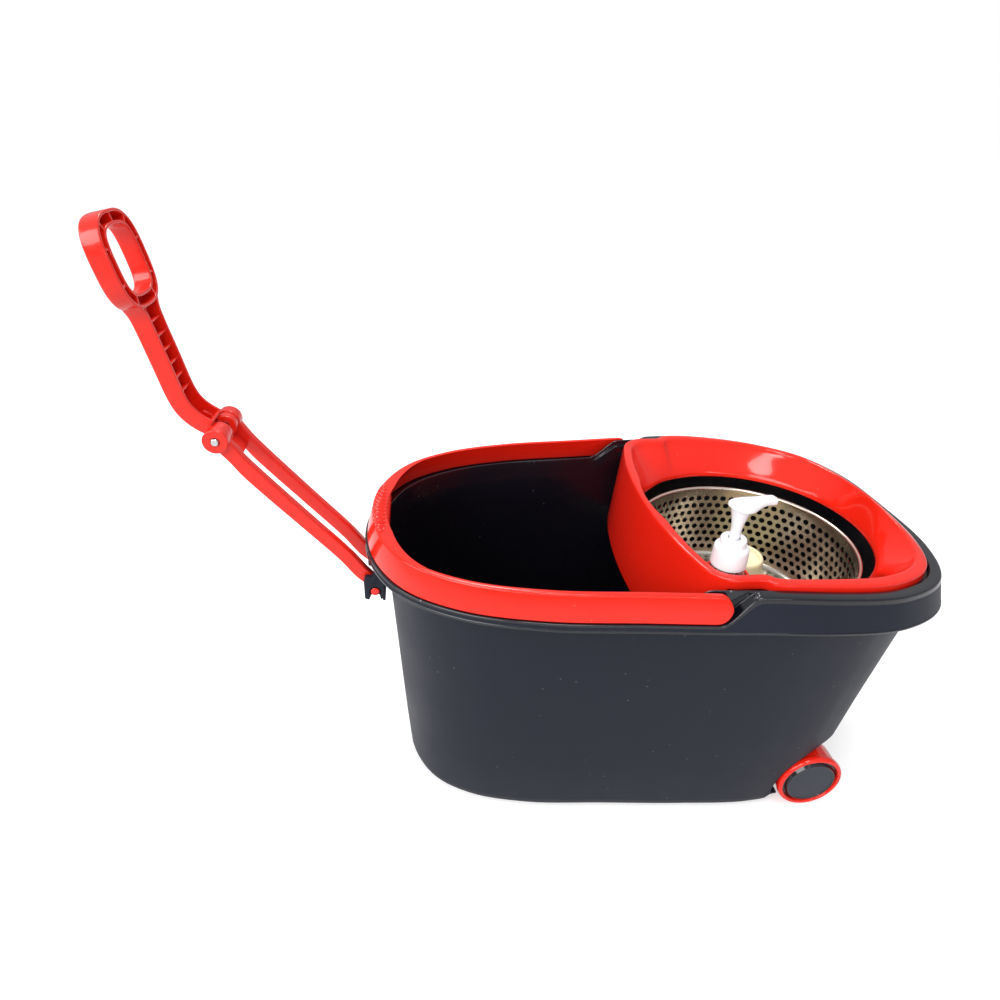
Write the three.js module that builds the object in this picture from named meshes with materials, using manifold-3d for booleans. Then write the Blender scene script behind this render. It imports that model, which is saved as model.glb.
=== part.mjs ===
// Spin mop bucket: a boat-shaped bucket on two rear wheels, with a spin basket under a red splash
// cover, a soap bottle with a pump, a carry bail that lies on the rim and a folding pull handle.
// Millimetres, +Z up, floor at z = 0. The bucket is mirror-symmetric about y = 0; the pull handle is
// at the nose (-X), the basket and wheels are at the tail (+X).
import * as THREE from 'three';
import Module from 'manifold-3d';

const wasm = await Module();
wasm.setup();

// ---------------------------------------------------------------- driving dimensions
const RIM_Z = 263.5;            // top of the rim
const TAIL_DROP = 12;           // how far the rim line sinks towards the tail
const SKIRT_Z = 235;            // lower edge of the rim's skirt
const SKIRT_OUT = 7.5;          // how far the skirt flares beyond the rim
const LEDGE_Z = 242;            // ledge that the bail lies on
const LIP_Z = 246;              // inner lip beside the bail
const WALL = 2.5;               // moulded wall thickness
const WALL_INSET = 8;           // tub wall inside the rim line, under the skirt
const NOSE_TAPER = 0.065;       // wall slopes, mm of inset per mm of depth
const SIDE_TAPER = 0.072;
const TAIL_TAPER = 0.18;
const BAIL_PIVOT = { x: -10, z: 253 };
const BAIL_HALF = 10.6;         // half the height of the bail band
const BAIL_THICK = 4.4;
const BASKET = { x: 78.5, rim: 101, rimZ: 223, floorZ: 143, floorR: 88 };
const OPENING = { r: 106.5, z: 234 };
const RIDGE_Z = 268;            // top of the cover's ridge
const COVER_SHEET = 2.2;
const APRON_Z = 186;            // lower edge of the cover's front wall
const BOTTLE = { x: 10, y: -101, r: 15.6, base: 173, shoulder: 258, neck: 265 };
const CUP = { outer: 18, inner: 16.1, base: 170, top: 257 };
const AXLE = { x: 132, z: 30.5, r: 4 };
const WHEEL = { r: 30, tread: 28.6, face: 119.8, width: 24, cap: 25.3 };
const ARCH = { x: 150, z: 22, r: 52.3 };      // underside arch over the axle
const TRUNNION = { x: -257, z: 197, r: 4 };
const KNEE = { x: -268.5, z: 219 };         // bend of the fork arms just outside the rim
const HINGE = { x: -365, z: 336 };          // pin between fork and handle
const PIN_R = 3;
const ARM = { inner: 14, outer: 21.5, half: 4.3, below: 3.7 };
const GAP = 0.35;               // clearance between separate pieces

// ---------------------------------------------------------------- helpers
const smooth = (t) => {
  const u = Math.min(1, Math.max(0, t));
  return u * u * (3 - 2 * u);
};
const mix = (a, b, t) => a + (b - a) * t;
const polar = (r, angle) => [r * Math.cos(angle), r * Math.sin(angle)];

// Weld equal points, drop flat triangles, and hand a closed surface to manifold-3d.
function toSolid(points, triangles) {
  const seen = new Map();
  const verts = [];
  const index = points.map((p) => {
    const key = p.map((v) => Math.round(v * 1e4)).join(',');
    if (!seen.has(key)) {
      seen.set(key, verts.length / 3);
      verts.push(...p);
    }
    return seen.get(key);
  });
  let tris = triangles
    .map((t) => t.map((i) => index[i]))
    .filter(([a, b, c]) => a !== b && b !== c && c !== a);
  const at = (i) => new THREE.Vector3(verts[3 * i], verts[3 * i + 1], verts[3 * i + 2]);
  const volume = tris.reduce((sum, [a, b, c]) => sum + at(a).dot(at(b).cross(at(c))), 0);
  if (volume < 0) tris = tris.map(([a, b, c]) => [a, c, b]);
  const mesh = new wasm.Mesh({
    numProp: 3,
    vertProperties: Float32Array.from(verts),
    triVerts: Uint32Array.from(tris.flat()),
  });
  return new wasm.Manifold(mesh);
}

// Skin over rings of equal length. A closed loft joins the last ring to the first; an open loft
// gets a fan at each end.
function loft(rings, closed = false) {
  const n = rings[0].length;
  const points = rings.flat();
  const tris = [];
  const spans = closed ? rings.length : rings.length - 1;
  for (let j = 0; j < spans; j += 1) {
    const a = j * n;
    const b = ((j + 1) % rings.length) * n;
    for (let i = 0; i < n; i += 1) {
      const k = (i + 1) % n;
      tris.push([a + i, a + k, b + k], [a + i, b + k, b + i]);
    }
  }
  if (!closed) {
    for (const [ring, start, flip] of [[rings[0], 0, true], [rings.at(-1), points.length - n, false]]) {
      const centre = [0, 1, 2].map((k) => ring.reduce((sum, p) => sum + p[k], 0) / n);
      const c = points.push(centre) - 1;
      for (let i = 0; i < n; i += 1) {
        const k = (i + 1) % n;
        tris.push(flip ? [c, start + k, start + i] : [c, start + i, start + k]);
      }
    }
  }
  return toSolid(points, tris);
}

// Revolve [radius, height] pairs about a line parallel to 'z' or 'y' through centre. The profile
// closes on itself, or starts and ends on the axis.
function turned(profile, centre, axis = 'z', segments = 48) {
  const rings = profile.map(([r, h]) => Array.from({ length: segments }, (_, i) => {
    const [u, v] = polar(r, (2 * Math.PI * i) / segments);
    return axis === 'z'
      ? [centre[0] + u, centre[1] + v, centre[2] + h]
      : [centre[0] + u, centre[1] + h, centre[2] + v];
  }));
  const onAxis = profile[0][0] === 0 && profile.at(-1)[0] === 0;
  return loft(rings, !onAxis);
}

// Cylinder from h0 to h1 along an axis.
const rod = (r, h0, h1, centre, axis = 'z', segments = 32) =>
  turned([[0, h0], [r, h0], [r, h1], [0, h1]], centre, axis, segments);

// Push a closed outline of [u, v] points along the third axis, from h0 to h1.
function extruded(outline, h0, h1, axis = 'y') {
  const shape = outline.map(([u, v]) => new THREE.Vector2(u, v));
  const caps = THREE.ShapeUtils.triangulateShape(shape, []);
  const place = { y: (u, v, h) => [u, h, v], z: (u, v, h) => [u, v, h], x: (u, v, h) => [h, u, v] };
  const n = outline.length;
  const points = [h0, h1].flatMap((h) => outline.map(([u, v]) => place[axis](u, v, h)));
  const tris = caps.flatMap(([a, b, c]) => [[a, c, b], [a + n, b + n, c + n]]);
  const area = THREE.ShapeUtils.area(shape);
  for (let i = 0; i < n; i += 1) {
    const k = (i + 1) % n;
    const side = [[i, k, k + n], [i, k + n, i + n]];
    tris.push(...(area > 0 ? side : side.map(([a, b, c]) => [a, c, b])));
  }
  return toSolid(points, tris);
}

const box = (x0, x1, y0, y1, z0, z1) =>
  extruded([[x0, y0], [x1, y0], [x1, y1], [x0, y1]], z0, z1, 'z');

const group = new THREE.Group();
group.name = 'spin_mop_bucket';

function addNode(name, body, color, roughness, metalness = 0) {
  const mesh = body.getMesh();
  const geometry = new THREE.BufferGeometry();
  geometry.setAttribute('position', new THREE.BufferAttribute(Float32Array.from(mesh.vertProperties), 3));
  geometry.setIndex(Array.from(mesh.triVerts));
  geometry.computeVertexNormals();
  const part = new THREE.Mesh(geometry, new THREE.MeshStandardMaterial({ color, roughness, metalness }));
  part.name = name;
  group.add(part);
}

const RED = 0xe8372a;
const BLACK = 0x2b2d33;
const STEEL = 0xc4c6c8;
const WHITE = 0xf2f2ee;

// ---------------------------------------------------------------- outlines
// A closed outline mirrored about y = 0 from its half, nose first, sampled evenly.
function mirrored(half, count) {
  const far = half.slice(1, -1).reverse().map(([x, y]) => [x, -y]);
  const points = [...half, ...far].map(([x, y]) => new THREE.Vector3(x, y, 0));
  const curve = new THREE.CatmullRomCurve3(points, true, 'centripetal');
  curve.arcLengthDivisions = 800;
  return Array.from({ length: count }, (_, i) => {
    const p = curve.getPointAt(i / count);
    const t = curve.getTangentAt(i / count);
    return { x: p.x, y: p.y, nx: -t.y, ny: t.x };
  });
}

const RIM_HALF = [[-257, 0], [-249, 46], [-226, 84], [-186, 110], [-130, 125], [-60, 132],
  [10, 138.5], [80, 142], [140, 133.5], [184, 109], [204, 66], [208.5, 0]];
const COVER_HALF = [[-35, 0], [-32, 50], [-24, 94], [-16, 114], [0, 123.5], [29, 125.5],
  [36, 130.4], [80, 132.4], [136, 124.4], [176.5, 101], [194, 62], [198.5, 0]];

const tailDrop = (x) => TAIL_DROP * smooth((x - 30) / 170);

// Point of the rim outline moved inwards and set at height z, sunk with the tail's rim line.
function rimPoint(p, inset, z) {
  const share = Math.max(0, (z - 120) / (RIM_Z - 120));
  return [p.x - p.nx * inset, p.y - p.ny * inset, z - share * tailDrop(p.x)];
}

// Inset of the tub's outer wall at height z: the tail slopes most and the nose least.
function wallPoint(p, z, extra) {
  const alongX = WALL_INSET + (p.nx > 0 ? TAIL_TAPER : NOSE_TAPER) * (SKIRT_Z - z) + extra;
  const alongY = WALL_INSET + SIDE_TAPER * (SKIRT_Z - z) + extra;
  const share = Math.max(0, (z - 120) / (RIM_Z - 120));
  return [p.x - p.nx * alongX, p.y - p.ny * alongY, z - share * tailDrop(p.x)];
}

// ---------------------------------------------------------------- tub
function makeTub() {
  const rim = mirrored(RIM_HALF, 76);
  const innerHigh = (p) => smooth((p.x + 42) / 30);     // inner lip rises to the rim here
  const outerHigh = (p) => smooth((p.x + 2) / 30);      // the skirt rises later, leaving the pocket
  const wallRing = (z, extra) => rim.map((p) => wallPoint(p, z, extra));
  const band = (low, high, share) => rim.map((p) => {
    const s = share(p);
    return rimPoint(p, mix(low[0], high[0], s), mix(low[1], high[1], s));
  });
  const rings = [
    wallRing(0, 11), wallRing(1.5, 6), wallRing(5, 2), wallRing(12, 0), wallRing(120, 0), wallRing(232, 0),
    band([6.5, 239.3], [6, 258.5], outerHigh),
    band([-4.6, 239.3], [0.8, 259.8], outerHigh),
    band([-5.2, SKIRT_Z], [-5.2, SKIRT_Z], outerHigh),
    band([-SKIRT_OUT, SKIRT_Z], [-SKIRT_OUT, SKIRT_Z], outerHigh),
    band([-6.9, 241], [-1.2, 261], outerHigh),
    band([-5.5, LEDGE_Z], [0.2, 263], outerHigh),
    band([-3, LEDGE_Z], [2, RIM_Z], outerHigh),
    band([6.4, LEDGE_Z], [6.4, RIM_Z], outerHigh),
    band([6.6, LIP_Z - 0.4], [6.8, RIM_Z], innerHigh),
    band([7.2, LIP_Z], [8.3, RIM_Z], innerHigh),
    band([8.2, LIP_Z - 0.5], [8.6, 258.8], innerHigh),
    band([8.9, LIP_Z - 5], [12, 258.8], innerHigh),
    band([10.4, 232], [13.5, 244], innerHigh),
    wallRing(226, WALL + 0.2), wallRing(120, WALL), wallRing(14, WALL), wallRing(6, WALL + 3),
    wallRing(3, WALL + 10),
  ];
  let tub = loft(rings);
  // Rear underside arch: cut it out of the shell and close the cut with a curved sheet.
  const inside = loft([wallRing(0.2, 0.6), wallRing(110, 0.1)]);
  const archCut = rod(ARCH.r, -160, 160, [ARCH.x, 0, ARCH.z], 'y', 60);
  const archSheet = rod(ARCH.r + WALL, -160, 160, [ARCH.x, 0, ARCH.z], 'y', 60).intersect(inside);
  tub = tub.add(archSheet).subtract(archCut);
  // Lugs that carry the axle.
  for (const side of [-1, 1]) {
    const y0 = side > 0 ? 84 : -93;
    const lug = extruded([[AXLE.x - 15, 74], [AXLE.x - 9, 30], [AXLE.x - 6, 22.5], [AXLE.x + 6, 22.5],
      [AXLE.x + 9, 30], [AXLE.x + 15, 72]], y0, y0 + 9);
    tub = tub.add(lug).subtract(rod(AXLE.r + 0.3, y0 - 1, y0 + 10, [AXLE.x, 0, AXLE.z], 'y'));
  }
  // Post on the floor for the basket's spindle.
  const post = turned([[0, 1], [17, 1], [17, 6], [12, 14], [10.5, 60], [9, 134], [0, 134]], [BASKET.x, 0, 0]);
  tub = tub.add(post).subtract(rod(4.25, 106, 140, [BASKET.x, 0, 0]));
  // Pivot holes for the bail and rivet holes for the bracket.
  for (const side of [-1, 1]) {
    tub = tub.subtract(rod(4.3, side > 0 ? 120 : -134.5, side > 0 ? 134.5 : -120,
      [BAIL_PIVOT.x, 0, BAIL_PIVOT.z], 'y', 24));
    tub = tub.subtract(extruded(circle(8 * side, 224, 2.3, 16), -254, -240, 'x'));
  }
  return tub;
}

function circle(u, v, r, count) {
  return Array.from({ length: count }, (_, i) => {
    const [du, dv] = polar(r, (2 * Math.PI * i) / count);
    return [u + du, v + dv];
  });
}

// ---------------------------------------------------------------- splash cover
function makeCover() {
  const edge = mirrored(COVER_HALF, 84);
  const isApron = (p) => smooth((-2 - p.x) / 8);
  const toCircle = (p, r) => {
    const d = Math.hypot(p.x - BASKET.x, p.y);
    return [BASKET.x + ((p.x - BASKET.x) * r) / d, (p.y * r) / d];
  };
  // Move from the outline towards the opening: first by a distance, then by a share of the rest.
  const ring = (inset, share, z, drop = 1) => edge.map((p) => {
    const x0 = p.x - p.nx * inset;
    const y0 = p.y - p.ny * inset;
    const [x1, y1] = toCircle(p, OPENING.r + (drop < 1 ? COVER_SHEET : 0));
    const height = typeof z === 'function' ? z(p) : z;
    return [mix(x0, x1, share), mix(y0, y1, share), height - tailDrop(x0) * (1 - share)];
  });
  const foot = (p) => mix(259.2, APRON_Z, isApron(p));
  const lean = (p) => 3 * isApron(p);
  const footRing = (inset) => edge.map((p) => {
    const x = p.x - p.nx * (inset - lean(p));
    const y = p.y - p.ny * (inset - lean(p) * 0.2);
    return [x, y, foot(p) - tailDrop(p.x)];
  });
  const t = COVER_SHEET;
  const rings = [
    footRing(0), ring(0, 0, 264.8), ring(0.9, 0, 267), ring(2.8, 0, RIDGE_Z), ring(4.6, 0.02, 267),
    ring(5.4, 0.12, 263.5), ring(5.6, 0.5, 250), ring(5.6, 0.92, OPENING.z + 3),
    ring(5.6, 1, OPENING.z), ring(5.6, 1, OPENING.z - 3), ring(5.6, 1, OPENING.z - 3, 0),
    ring(5, 0.95, OPENING.z - 0.5, 0), ring(4, 0.5, 247, 0), ring(3.4, 0.1, 261, 0),
    ring(t + 0.4, 0, 264.2, 0), ring(t, 0, 262.5, 0), footRing(t),
  ];
  let cover = loft(rings, true);
  const cup = rod(CUP.outer, CUP.base, CUP.top, [BOTTLE.x, BOTTLE.y, 0], 'z', 40);
  const bore = rod(CUP.inner, CUP.base + 2, 300, [BOTTLE.x, BOTTLE.y, 0], 'z', 40);
  const drain = rod(3, CUP.base - 1, CUP.base + 3, [BOTTLE.x, BOTTLE.y, 0], 'z', 16);
  cover = cover.add(cup).subtract(bore).subtract(drain);
  return cover;
}

// ---------------------------------------------------------------- bail
function makeBail() {
  const rim = mirrored(RIM_HALF, 132);
  const tip = BAIL_PIVOT.x + BAIL_HALF - 0.4;
  const near = rim.filter((p) => p.x < tip && p.y < 0);
  const far = rim.filter((p) => p.x < tip && p.y >= 0);
  const path = [...near, ...far];
  const stations = path.map((p) => {
    const beyond = Math.max(0, p.x - BAIL_PIVOT.x);
    const half = Math.sqrt(Math.max(0.5, BAIL_HALF ** 2 - beyond ** 2));
    const lean = (z) => -6 * ((263.5 - z) / 21.5);      // outer face slopes out towards the bottom
    const top = BAIL_PIVOT.z + half;
    const bottom = BAIL_PIVOT.z - half;
    const at = (inset, z) => [p.x - p.nx * inset, p.y - p.ny * inset, z];
    const round = Math.min(1.4, half / 2);
    return [
      at(lean(bottom) + BAIL_THICK, bottom), at(lean(bottom) + round, bottom),
      at(lean(bottom + round), bottom + round), at(lean(BAIL_PIVOT.z), BAIL_PIVOT.z),
      at(lean(top - round), top - round), at(lean(top) + round, top), at(lean(top) + BAIL_THICK, top),
    ];
  });
  let bail = loft(stations);
  for (const side of [-1, 1]) {
    const y = side * 137.8;
    bail = bail.subtract(rod(4.3, Math.min(y, side * 120), Math.max(y, side * 120),
      [BAIL_PIVOT.x, 0, BAIL_PIVOT.z], 'y', 24));
  }
  return bail;
}

// Ribbed grip pressed into the bail's middle, lens-shaped in plan.
function makeBailGrip() {
  const ribs = 11;
  const half = 42;
  const count = ribs * 4;
  const rim = mirrored(RIM_HALF, 720);
  const nose = (y) => rim.reduce((best, p) => (p.x < -180 && Math.abs(p.y - y) < Math.abs(best.y - y) ? p : best));
  const stations = Array.from({ length: count + 1 }, (_, i) => {
    const y = mix(-half, half, i / count);
    const p = nose(y);
    const bulge = 1.2 + 7 * (1 - (y / half) ** 2);
    const rib = 0.7 * Math.sin((2 * Math.PI * i) / 4);
    const at = (inset, z) => [p.x - p.nx * inset, p.y - p.ny * inset, z];
    const back = (z) => -6 * ((263.5 - z) / 21.5) + BAIL_THICK + GAP;
    return [at(back(247.5), 247.5), at(back(264), 264 + rib * 0.4), at(back(264) + bulge * 0.7, 263.6 + rib),
      at(back(264) + bulge, 260.5 + rib * 0.5), at(back(247.5) + bulge + 1, 250)];
  });
  return loft(stations);
}

// ---------------------------------------------------------------- basket
function makeDrum() {
  const { rim, rimZ, floorZ, floorR } = BASKET;
  const roll = 2.2;
  const outer = Array.from({ length: 9 }, (_, i) => {
    const [u, v] = polar(roll, Math.PI * (1 - i / 8) * 1.15 - Math.PI * 0.15);
    return [rim - roll + u, rimZ - roll + v];
  });
  const profile = [
    ...outer, [rim - 2 * roll + 0.5, rimZ - 9], [floorR + 4.2, floorZ + 12], [floorR, floorZ + 3],
    [floorR - 6, floorZ], [9.5, floorZ], [9.5, floorZ + 1], [floorR - 6.4, floorZ + 1],
    [floorR - 1, floorZ + 3.6], [floorR + 3.2, floorZ + 12.3], [rim - 2 * roll - 0.5, rimZ - 8.8],
  ];
  let drum = turned(profile, [BASKET.x, 0, 0], 'z', 48);
  for (const [x, y] of screwSpots()) drum = drum.subtract(rod(1.9, floorZ - 1, floorZ + 2, [x, y, 0], 'z', 12));
  return drum;
}

function makeHub() {
  const z0 = BASKET.floorZ + 1 + GAP;
  const profile = [[7.2, z0], [27, z0], [27, z0 + 3], [25.2, z0 + 5], [25.2, z0 + 44], [21.8, z0 + 47.5],
    [21.2, z0 + 58.5], [20, z0 + 60], [18.6, z0 + 59], [18.8, z0 + 46], [22.6, z0 + 42.5], [22.6, z0 + 9],
    [11, z0 + 9], [11, z0 + 14], [7.2, z0 + 14]];
  let hub = turned(profile, [BASKET.x, 0, 0], 'z', 24);
  for (const [x, y] of screwSpots()) hub = hub.subtract(rod(1.7, z0 - 1, z0 + 6.5, [x, y, 0], 'z', 12));
  return hub;
}

const screwSpots = () => [0, 1, 2].map((k) => {
  const [u, v] = polar(22.5, (2 * Math.PI * k) / 3 + 0.3);
  return [BASKET.x + u, v];
});

function makeClampPlate() {
  const z1 = BASKET.floorZ - GAP;
  let plate = turned([[7.3, z1 - 3], [30, z1 - 3], [31, z1 - 1.5], [30, z1], [7.3, z1]], [BASKET.x, 0, 0], 'z', 28);
  for (const [x, y] of screwSpots()) plate = plate.subtract(rod(1.9, z1 - 5, z1 + 1, [x, y, 0], 'z', 12));
  return plate;
}

const makeHubScrew = ([x, y]) => turned([[0, BASKET.floorZ - 6.2], [3.4, BASKET.floorZ - 6.2],
  [3.4, BASKET.floorZ - 3 - 2 * GAP], [1.5, BASKET.floorZ - 3 - 2 * GAP], [1.5, BASKET.floorZ + 6.6],
  [0, BASKET.floorZ + 7.2]], [x, y, 0], 'z', 12);

// ---------------------------------------------------------------- wheels
function makeWheel(side) {
  const inner = WHEEL.face - WHEEL.width;
  const y = (d) => side * (inner + d);
  const profile = [[4.5, 0], [9, 0], [9, 16.5], [25.2, 16.5], [25.2, 0], [28, 0], [WHEEL.tread, 1],
    [WHEEL.tread, 17.6], [29.4, 18.4], [WHEEL.r, 19.4], [WHEEL.r, 22.4], [29.2, 23.7], [28, 24], [26.4, 23.6],
    [25.7, 22.6], [25.7, 19.4], [4.5, 19.4]];
  return turned(profile.map(([r, d]) => [r, y(d)]), [AXLE.x, 0, AXLE.z], 'y', 36);
}

function makeCap(side) {
  const inner = WHEEL.face - WHEEL.width;
  const y = (d) => side * (inner + d);
  const profile = [[0, 24.6], [12, 24.4], [20, 24], [24.3, 23.4], [WHEEL.cap, 22.4], [WHEEL.cap, 19.8],
    [23.6, 19.8], [23.6, 21.9], [0, 23]];
  return turned(profile.map(([r, d]) => [r, y(d)]), [AXLE.x, 0, AXLE.z], 'y', 36);
}

// ---------------------------------------------------------------- pull handle
// Side outline of a bar that follows a centre line with a half-depth at each point.
function barOutline(path) {
  const left = [];
  const right = [];
  path.forEach(([x, z, half], i) => {
    const a = path[Math.max(0, i - 1)];
    const b = path[Math.min(path.length - 1, i + 1)];
    const length = Math.hypot(b[0] - a[0], b[1] - a[1]);
    const n = [-(b[1] - a[1]) / length, (b[0] - a[0]) / length];
    left.push([x + n[0] * half, z + n[1] * half]);
    right.push([x - n[0] * half, z - n[1] * half]);
  });
  return [...left, ...right.reverse()];
}

function makeFork() {
  const [ux, uz] = [KNEE.x - HINGE.x, KNEE.z - HINGE.z].map((v) => v / Math.hypot(KNEE.x - HINGE.x, KNEE.z - HINGE.z));
  // A point the share d down the arm, moved away from the bucket by below.
  const along = (d, below) => [HINGE.x + (KNEE.x - HINGE.x) * d + uz * below,
    HINGE.z + (KNEE.z - HINGE.z) * d - ux * below];
  const path = [[...along(0.02, 0), 6.2], [...along(0.1, 1), 5.8], [...along(0.24, ARM.below), ARM.half + 0.4],
    [...along(0.6, ARM.below), ARM.half], [...along(0.93, ARM.below), ARM.half], [KNEE.x - 0.5, KNEE.z - 7.5, 5],
    [TRUNNION.x - 2, TRUNNION.z + 6, 5.2], [TRUNNION.x, TRUNNION.z, 5]];
  let fork;
  for (const side of [-1, 1]) {
    const span = (a, b) => (side > 0 ? [a, b] : [-b, -a]);
    const arm = extruded(barOutline(path), ...span(ARM.inner, ARM.outer));
    const barrel = rod(9.3, ...span(ARM.inner, 25), [HINGE.x, 0, HINGE.z], 'y', 32);
    const eye = rod(5.6, ...span(ARM.inner, ARM.outer), [TRUNNION.x, 0, TRUNNION.z], 'y', 24);
    const stub = rod(TRUNNION.r, ...span(ARM.outer - 1, 27.6), [TRUNNION.x, 0, TRUNNION.z], 'y', 24);
    const piece = arm.add(barrel).add(eye).add(stub);
    fork = fork ? fork.add(piece) : piece;
  }
  // Web between the arms, on the side away from the bucket so that the handle can fold over it.
  const corner = (d, off) => [HINGE.x + ux * d + uz * off, HINGE.z + uz * d - ux * off];
  const web = extruded([corner(20, 2), corner(36, 2), corner(36, 7), corner(20, 7)], -ARM.inner - 1, ARM.inner + 1);
  fork = fork.add(web);
  return fork.subtract(rod(PIN_R + 0.25, -30, 30, [HINGE.x, 0, HINGE.z], 'y', 24));
}

// Handle frame: a runs up the shaft from the hinge, b points away from the bucket.
const SHAFT_ANGLE = (102.7 * Math.PI) / 180;
const shaftPoint = (a, b) => [
  HINGE.x + a * Math.cos(SHAFT_ANGLE) - b * Math.sin(SHAFT_ANGLE),
  HINGE.z + a * Math.sin(SHAFT_ANGLE) + b * Math.cos(SHAFT_ANGLE),
];
const SHAFT = { half: 12.5, depth: 6.5, offset: 18, bendA: 25, top: 104, sheet: 2.4, rib: 1.8 };
const RING = { a0: 98, a1: 160, half: 31, bar: 9.5, depth: 6.5 };

function makeHandle() {
  const line = [[5, 4], [12, 9.5], [SHAFT.bendA, SHAFT.offset - 1.5], [34, SHAFT.offset], [SHAFT.top, SHAFT.offset]];
  const local = barOutline(line.map(([a, b]) => [a, b, SHAFT.depth]));
  const bar = extruded(local.map(([a, b]) => shaftPoint(a, b)), -SHAFT.half, SHAFT.half);
  // Channel: open on the side that faces the bucket.
  const cavityLine = [[14, 9.5 - 3], [SHAFT.bendA, SHAFT.offset - 4.2], [34, SHAFT.offset - 2.6],
    [SHAFT.top - 6, SHAFT.offset - 2.6]];
  const cavity = extruded(barOutline(cavityLine.map(([a, b]) => [a, b, SHAFT.depth])).map(([a, b]) => shaftPoint(a, b)),
    -SHAFT.half + SHAFT.sheet, SHAFT.half - SHAFT.sheet);
  let handle = bar.subtract(cavity);
  // Long middle rib and cross ribs.
  const floorB = SHAFT.offset + SHAFT.depth - 2;
  const ribBox = (a0, a1, y0, y1, height) => extruded([shaftPoint(a0, floorB), shaftPoint(a1, floorB),
    shaftPoint(a1, floorB - height), shaftPoint(a0, floorB - height)], y0, y1);
  handle = handle.add(ribBox(34, SHAFT.top - 4, -SHAFT.rib / 2, SHAFT.rib / 2, 7));
  for (let k = 0; k < 7; k += 1) {
    const a = 36 + k * 10.2;
    handle = handle.add(ribBox(a, a + SHAFT.rib, -SHAFT.half + 1, SHAFT.half - 1, 9));
  }
  // Knuckles round the pin, one beside each fork arm.
  for (const [y0, y1] of [[-ARM.inner + GAP, -5.5], [5.5, ARM.inner - GAP]]) {
    const knuckle = rod(8.4, y0, y1, [HINGE.x, 0, HINGE.z], 'y', 32);
    handle = handle.add(knuckle);
  }
  handle = handle.subtract(rod(9.4, -5.5, 5.5, [HINGE.x, 0, HINGE.z], 'y', 32));
  // Grip ring: a rounded loop across the top of the shaft.
  const loop = (halfA, halfY, power) => Array.from({ length: 40 }, (_, i) => {
    const angle = (2 * Math.PI * i) / 40;
    const c = Math.cos(angle);
    const s = Math.sin(angle);
    return [(RING.a0 + RING.a1) / 2 + halfA * Math.sign(c) * Math.abs(c) ** power,
      halfY * Math.sign(s) * Math.abs(s) ** power];
  });
  const slab = (outline, b0, b1) => loft([b0, b1].map((b) => outline.map(([a, y]) => {
    const [x, z] = shaftPoint(a, b);
    return [x, y, z];
  })));
  const halfA = (RING.a1 - RING.a0) / 2;
  const mid = SHAFT.offset;
  const ring = slab(loop(halfA, RING.half, 0.7), mid - RING.depth, mid + RING.depth);
  const hole = slab(loop(halfA - RING.bar, RING.half - RING.bar, 0.7), mid - 20, mid + 20);
  handle = handle.add(ring).subtract(hole);
  const groove = slab(loop(halfA - SHAFT.sheet, RING.half - SHAFT.sheet, 0.7), mid - RING.depth - 1, mid + 3.2)
    .subtract(slab(loop(halfA - RING.bar + SHAFT.sheet, RING.half - RING.bar + SHAFT.sheet, 0.7), mid - 20, mid + 20));
  handle = handle.subtract(groove);
  return handle.subtract(rod(PIN_R + 0.25, -30, 30, [HINGE.x, 0, HINGE.z], 'y', 24));
}

// Black bracket under the nose: a back plate and two snap clips for the fork's trunnions.
function makeBracket() {
  let bracket = extruded([[-251, 188], [-248.6, 188], [-249.4, 233], [-251, 233]], -28, 28);
  for (const side of [-1, 1]) {
    const [y0, y1] = side > 0 ? [22.3, 27] : [-27, -22.3];
    const clip = extruded([[-266, 190], [-250, 190], [-250, 226], [-255, 226], [-258, 212], [-264.5, 212],
      [-266, 209]], y0, y1);
    const mouth = extruded([[TRUNNION.x - 3.3, TRUNNION.z], [TRUNNION.x + 3.3, TRUNNION.z],
      [TRUNNION.x + 4.6, 189], [TRUNNION.x - 4.6, 189]], y0 - 1, y1 + 1);
    bracket = bracket.add(clip).subtract(mouth)
      .subtract(rod(TRUNNION.r + GAP, y0 - 1, y1 + 1, [TRUNNION.x, 0, TRUNNION.z], 'y', 24));
    bracket = bracket.subtract(extruded(circle(8 * side, 224, 2.3, 16), -256, -248, 'x'));
  }
  return bracket;
}

// Rivet along x through bracket and wall.
function makeRivet(side) {
  const profile = [[0, -254.2], [2.6, -254.2], [3.6, -253.4], [3.6, -251 - GAP], [2, -251 - GAP], [2, -244.6],
    [3.6, -244.6], [3.6, -243.6], [0, -243.2]];
  const rings = profile.map(([r, x]) => circle(8 * side, 224, Math.max(r, 0), 16).map(([y, z]) => [x, y, z]));
  return loft(rings);
}

// ---------------------------------------------------------------- soap pump
function makeBottle() {
  const { x, y, r, base, shoulder, neck } = BOTTLE;
  const t = 1.4;
  const profile = [[0, base + 1.5], [5, base], [r - 2, base], [r, base + 2.5], [r, shoulder - 4], [r - 1.2, shoulder],
    [11.2, neck - 4], [10.8, neck], [10.8, neck + 10], [8.6, neck + 10], [8.6, neck - 3], [r - 3, shoulder - 1],
    [r - t, shoulder - 5], [r - t, base + 4], [r - 4, base + 2.4], [0, base + 3]];
  return turned(profile, [x, y, 0], 'z', 28);
}

function makeClosure() {
  const { x, y, neck } = BOTTLE;
  const z = neck + 1;
  const profile = [[11.3, z], [13.9, z], [13.9, z + 13], [12.6, z + 15.5], [10.4, z + 16], [10.4, z + 23], [9.6, z + 24],
    [4.4, z + 24], [4.4, z + 20], [6.6, z + 14], [6.6, z + 12.6], [11.3, z + 12.6]];
  return turned(profile, [x, y, 0], 'z', 28);
}

function makeGasket() {
  const z = BOTTLE.neck + 10 + GAP;
  return turned([[7, z], [10.6, z], [10.6, z + 1], [7, z + 1]], [BOTTLE.x, BOTTLE.y, 0], 'z', 28);
}

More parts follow.
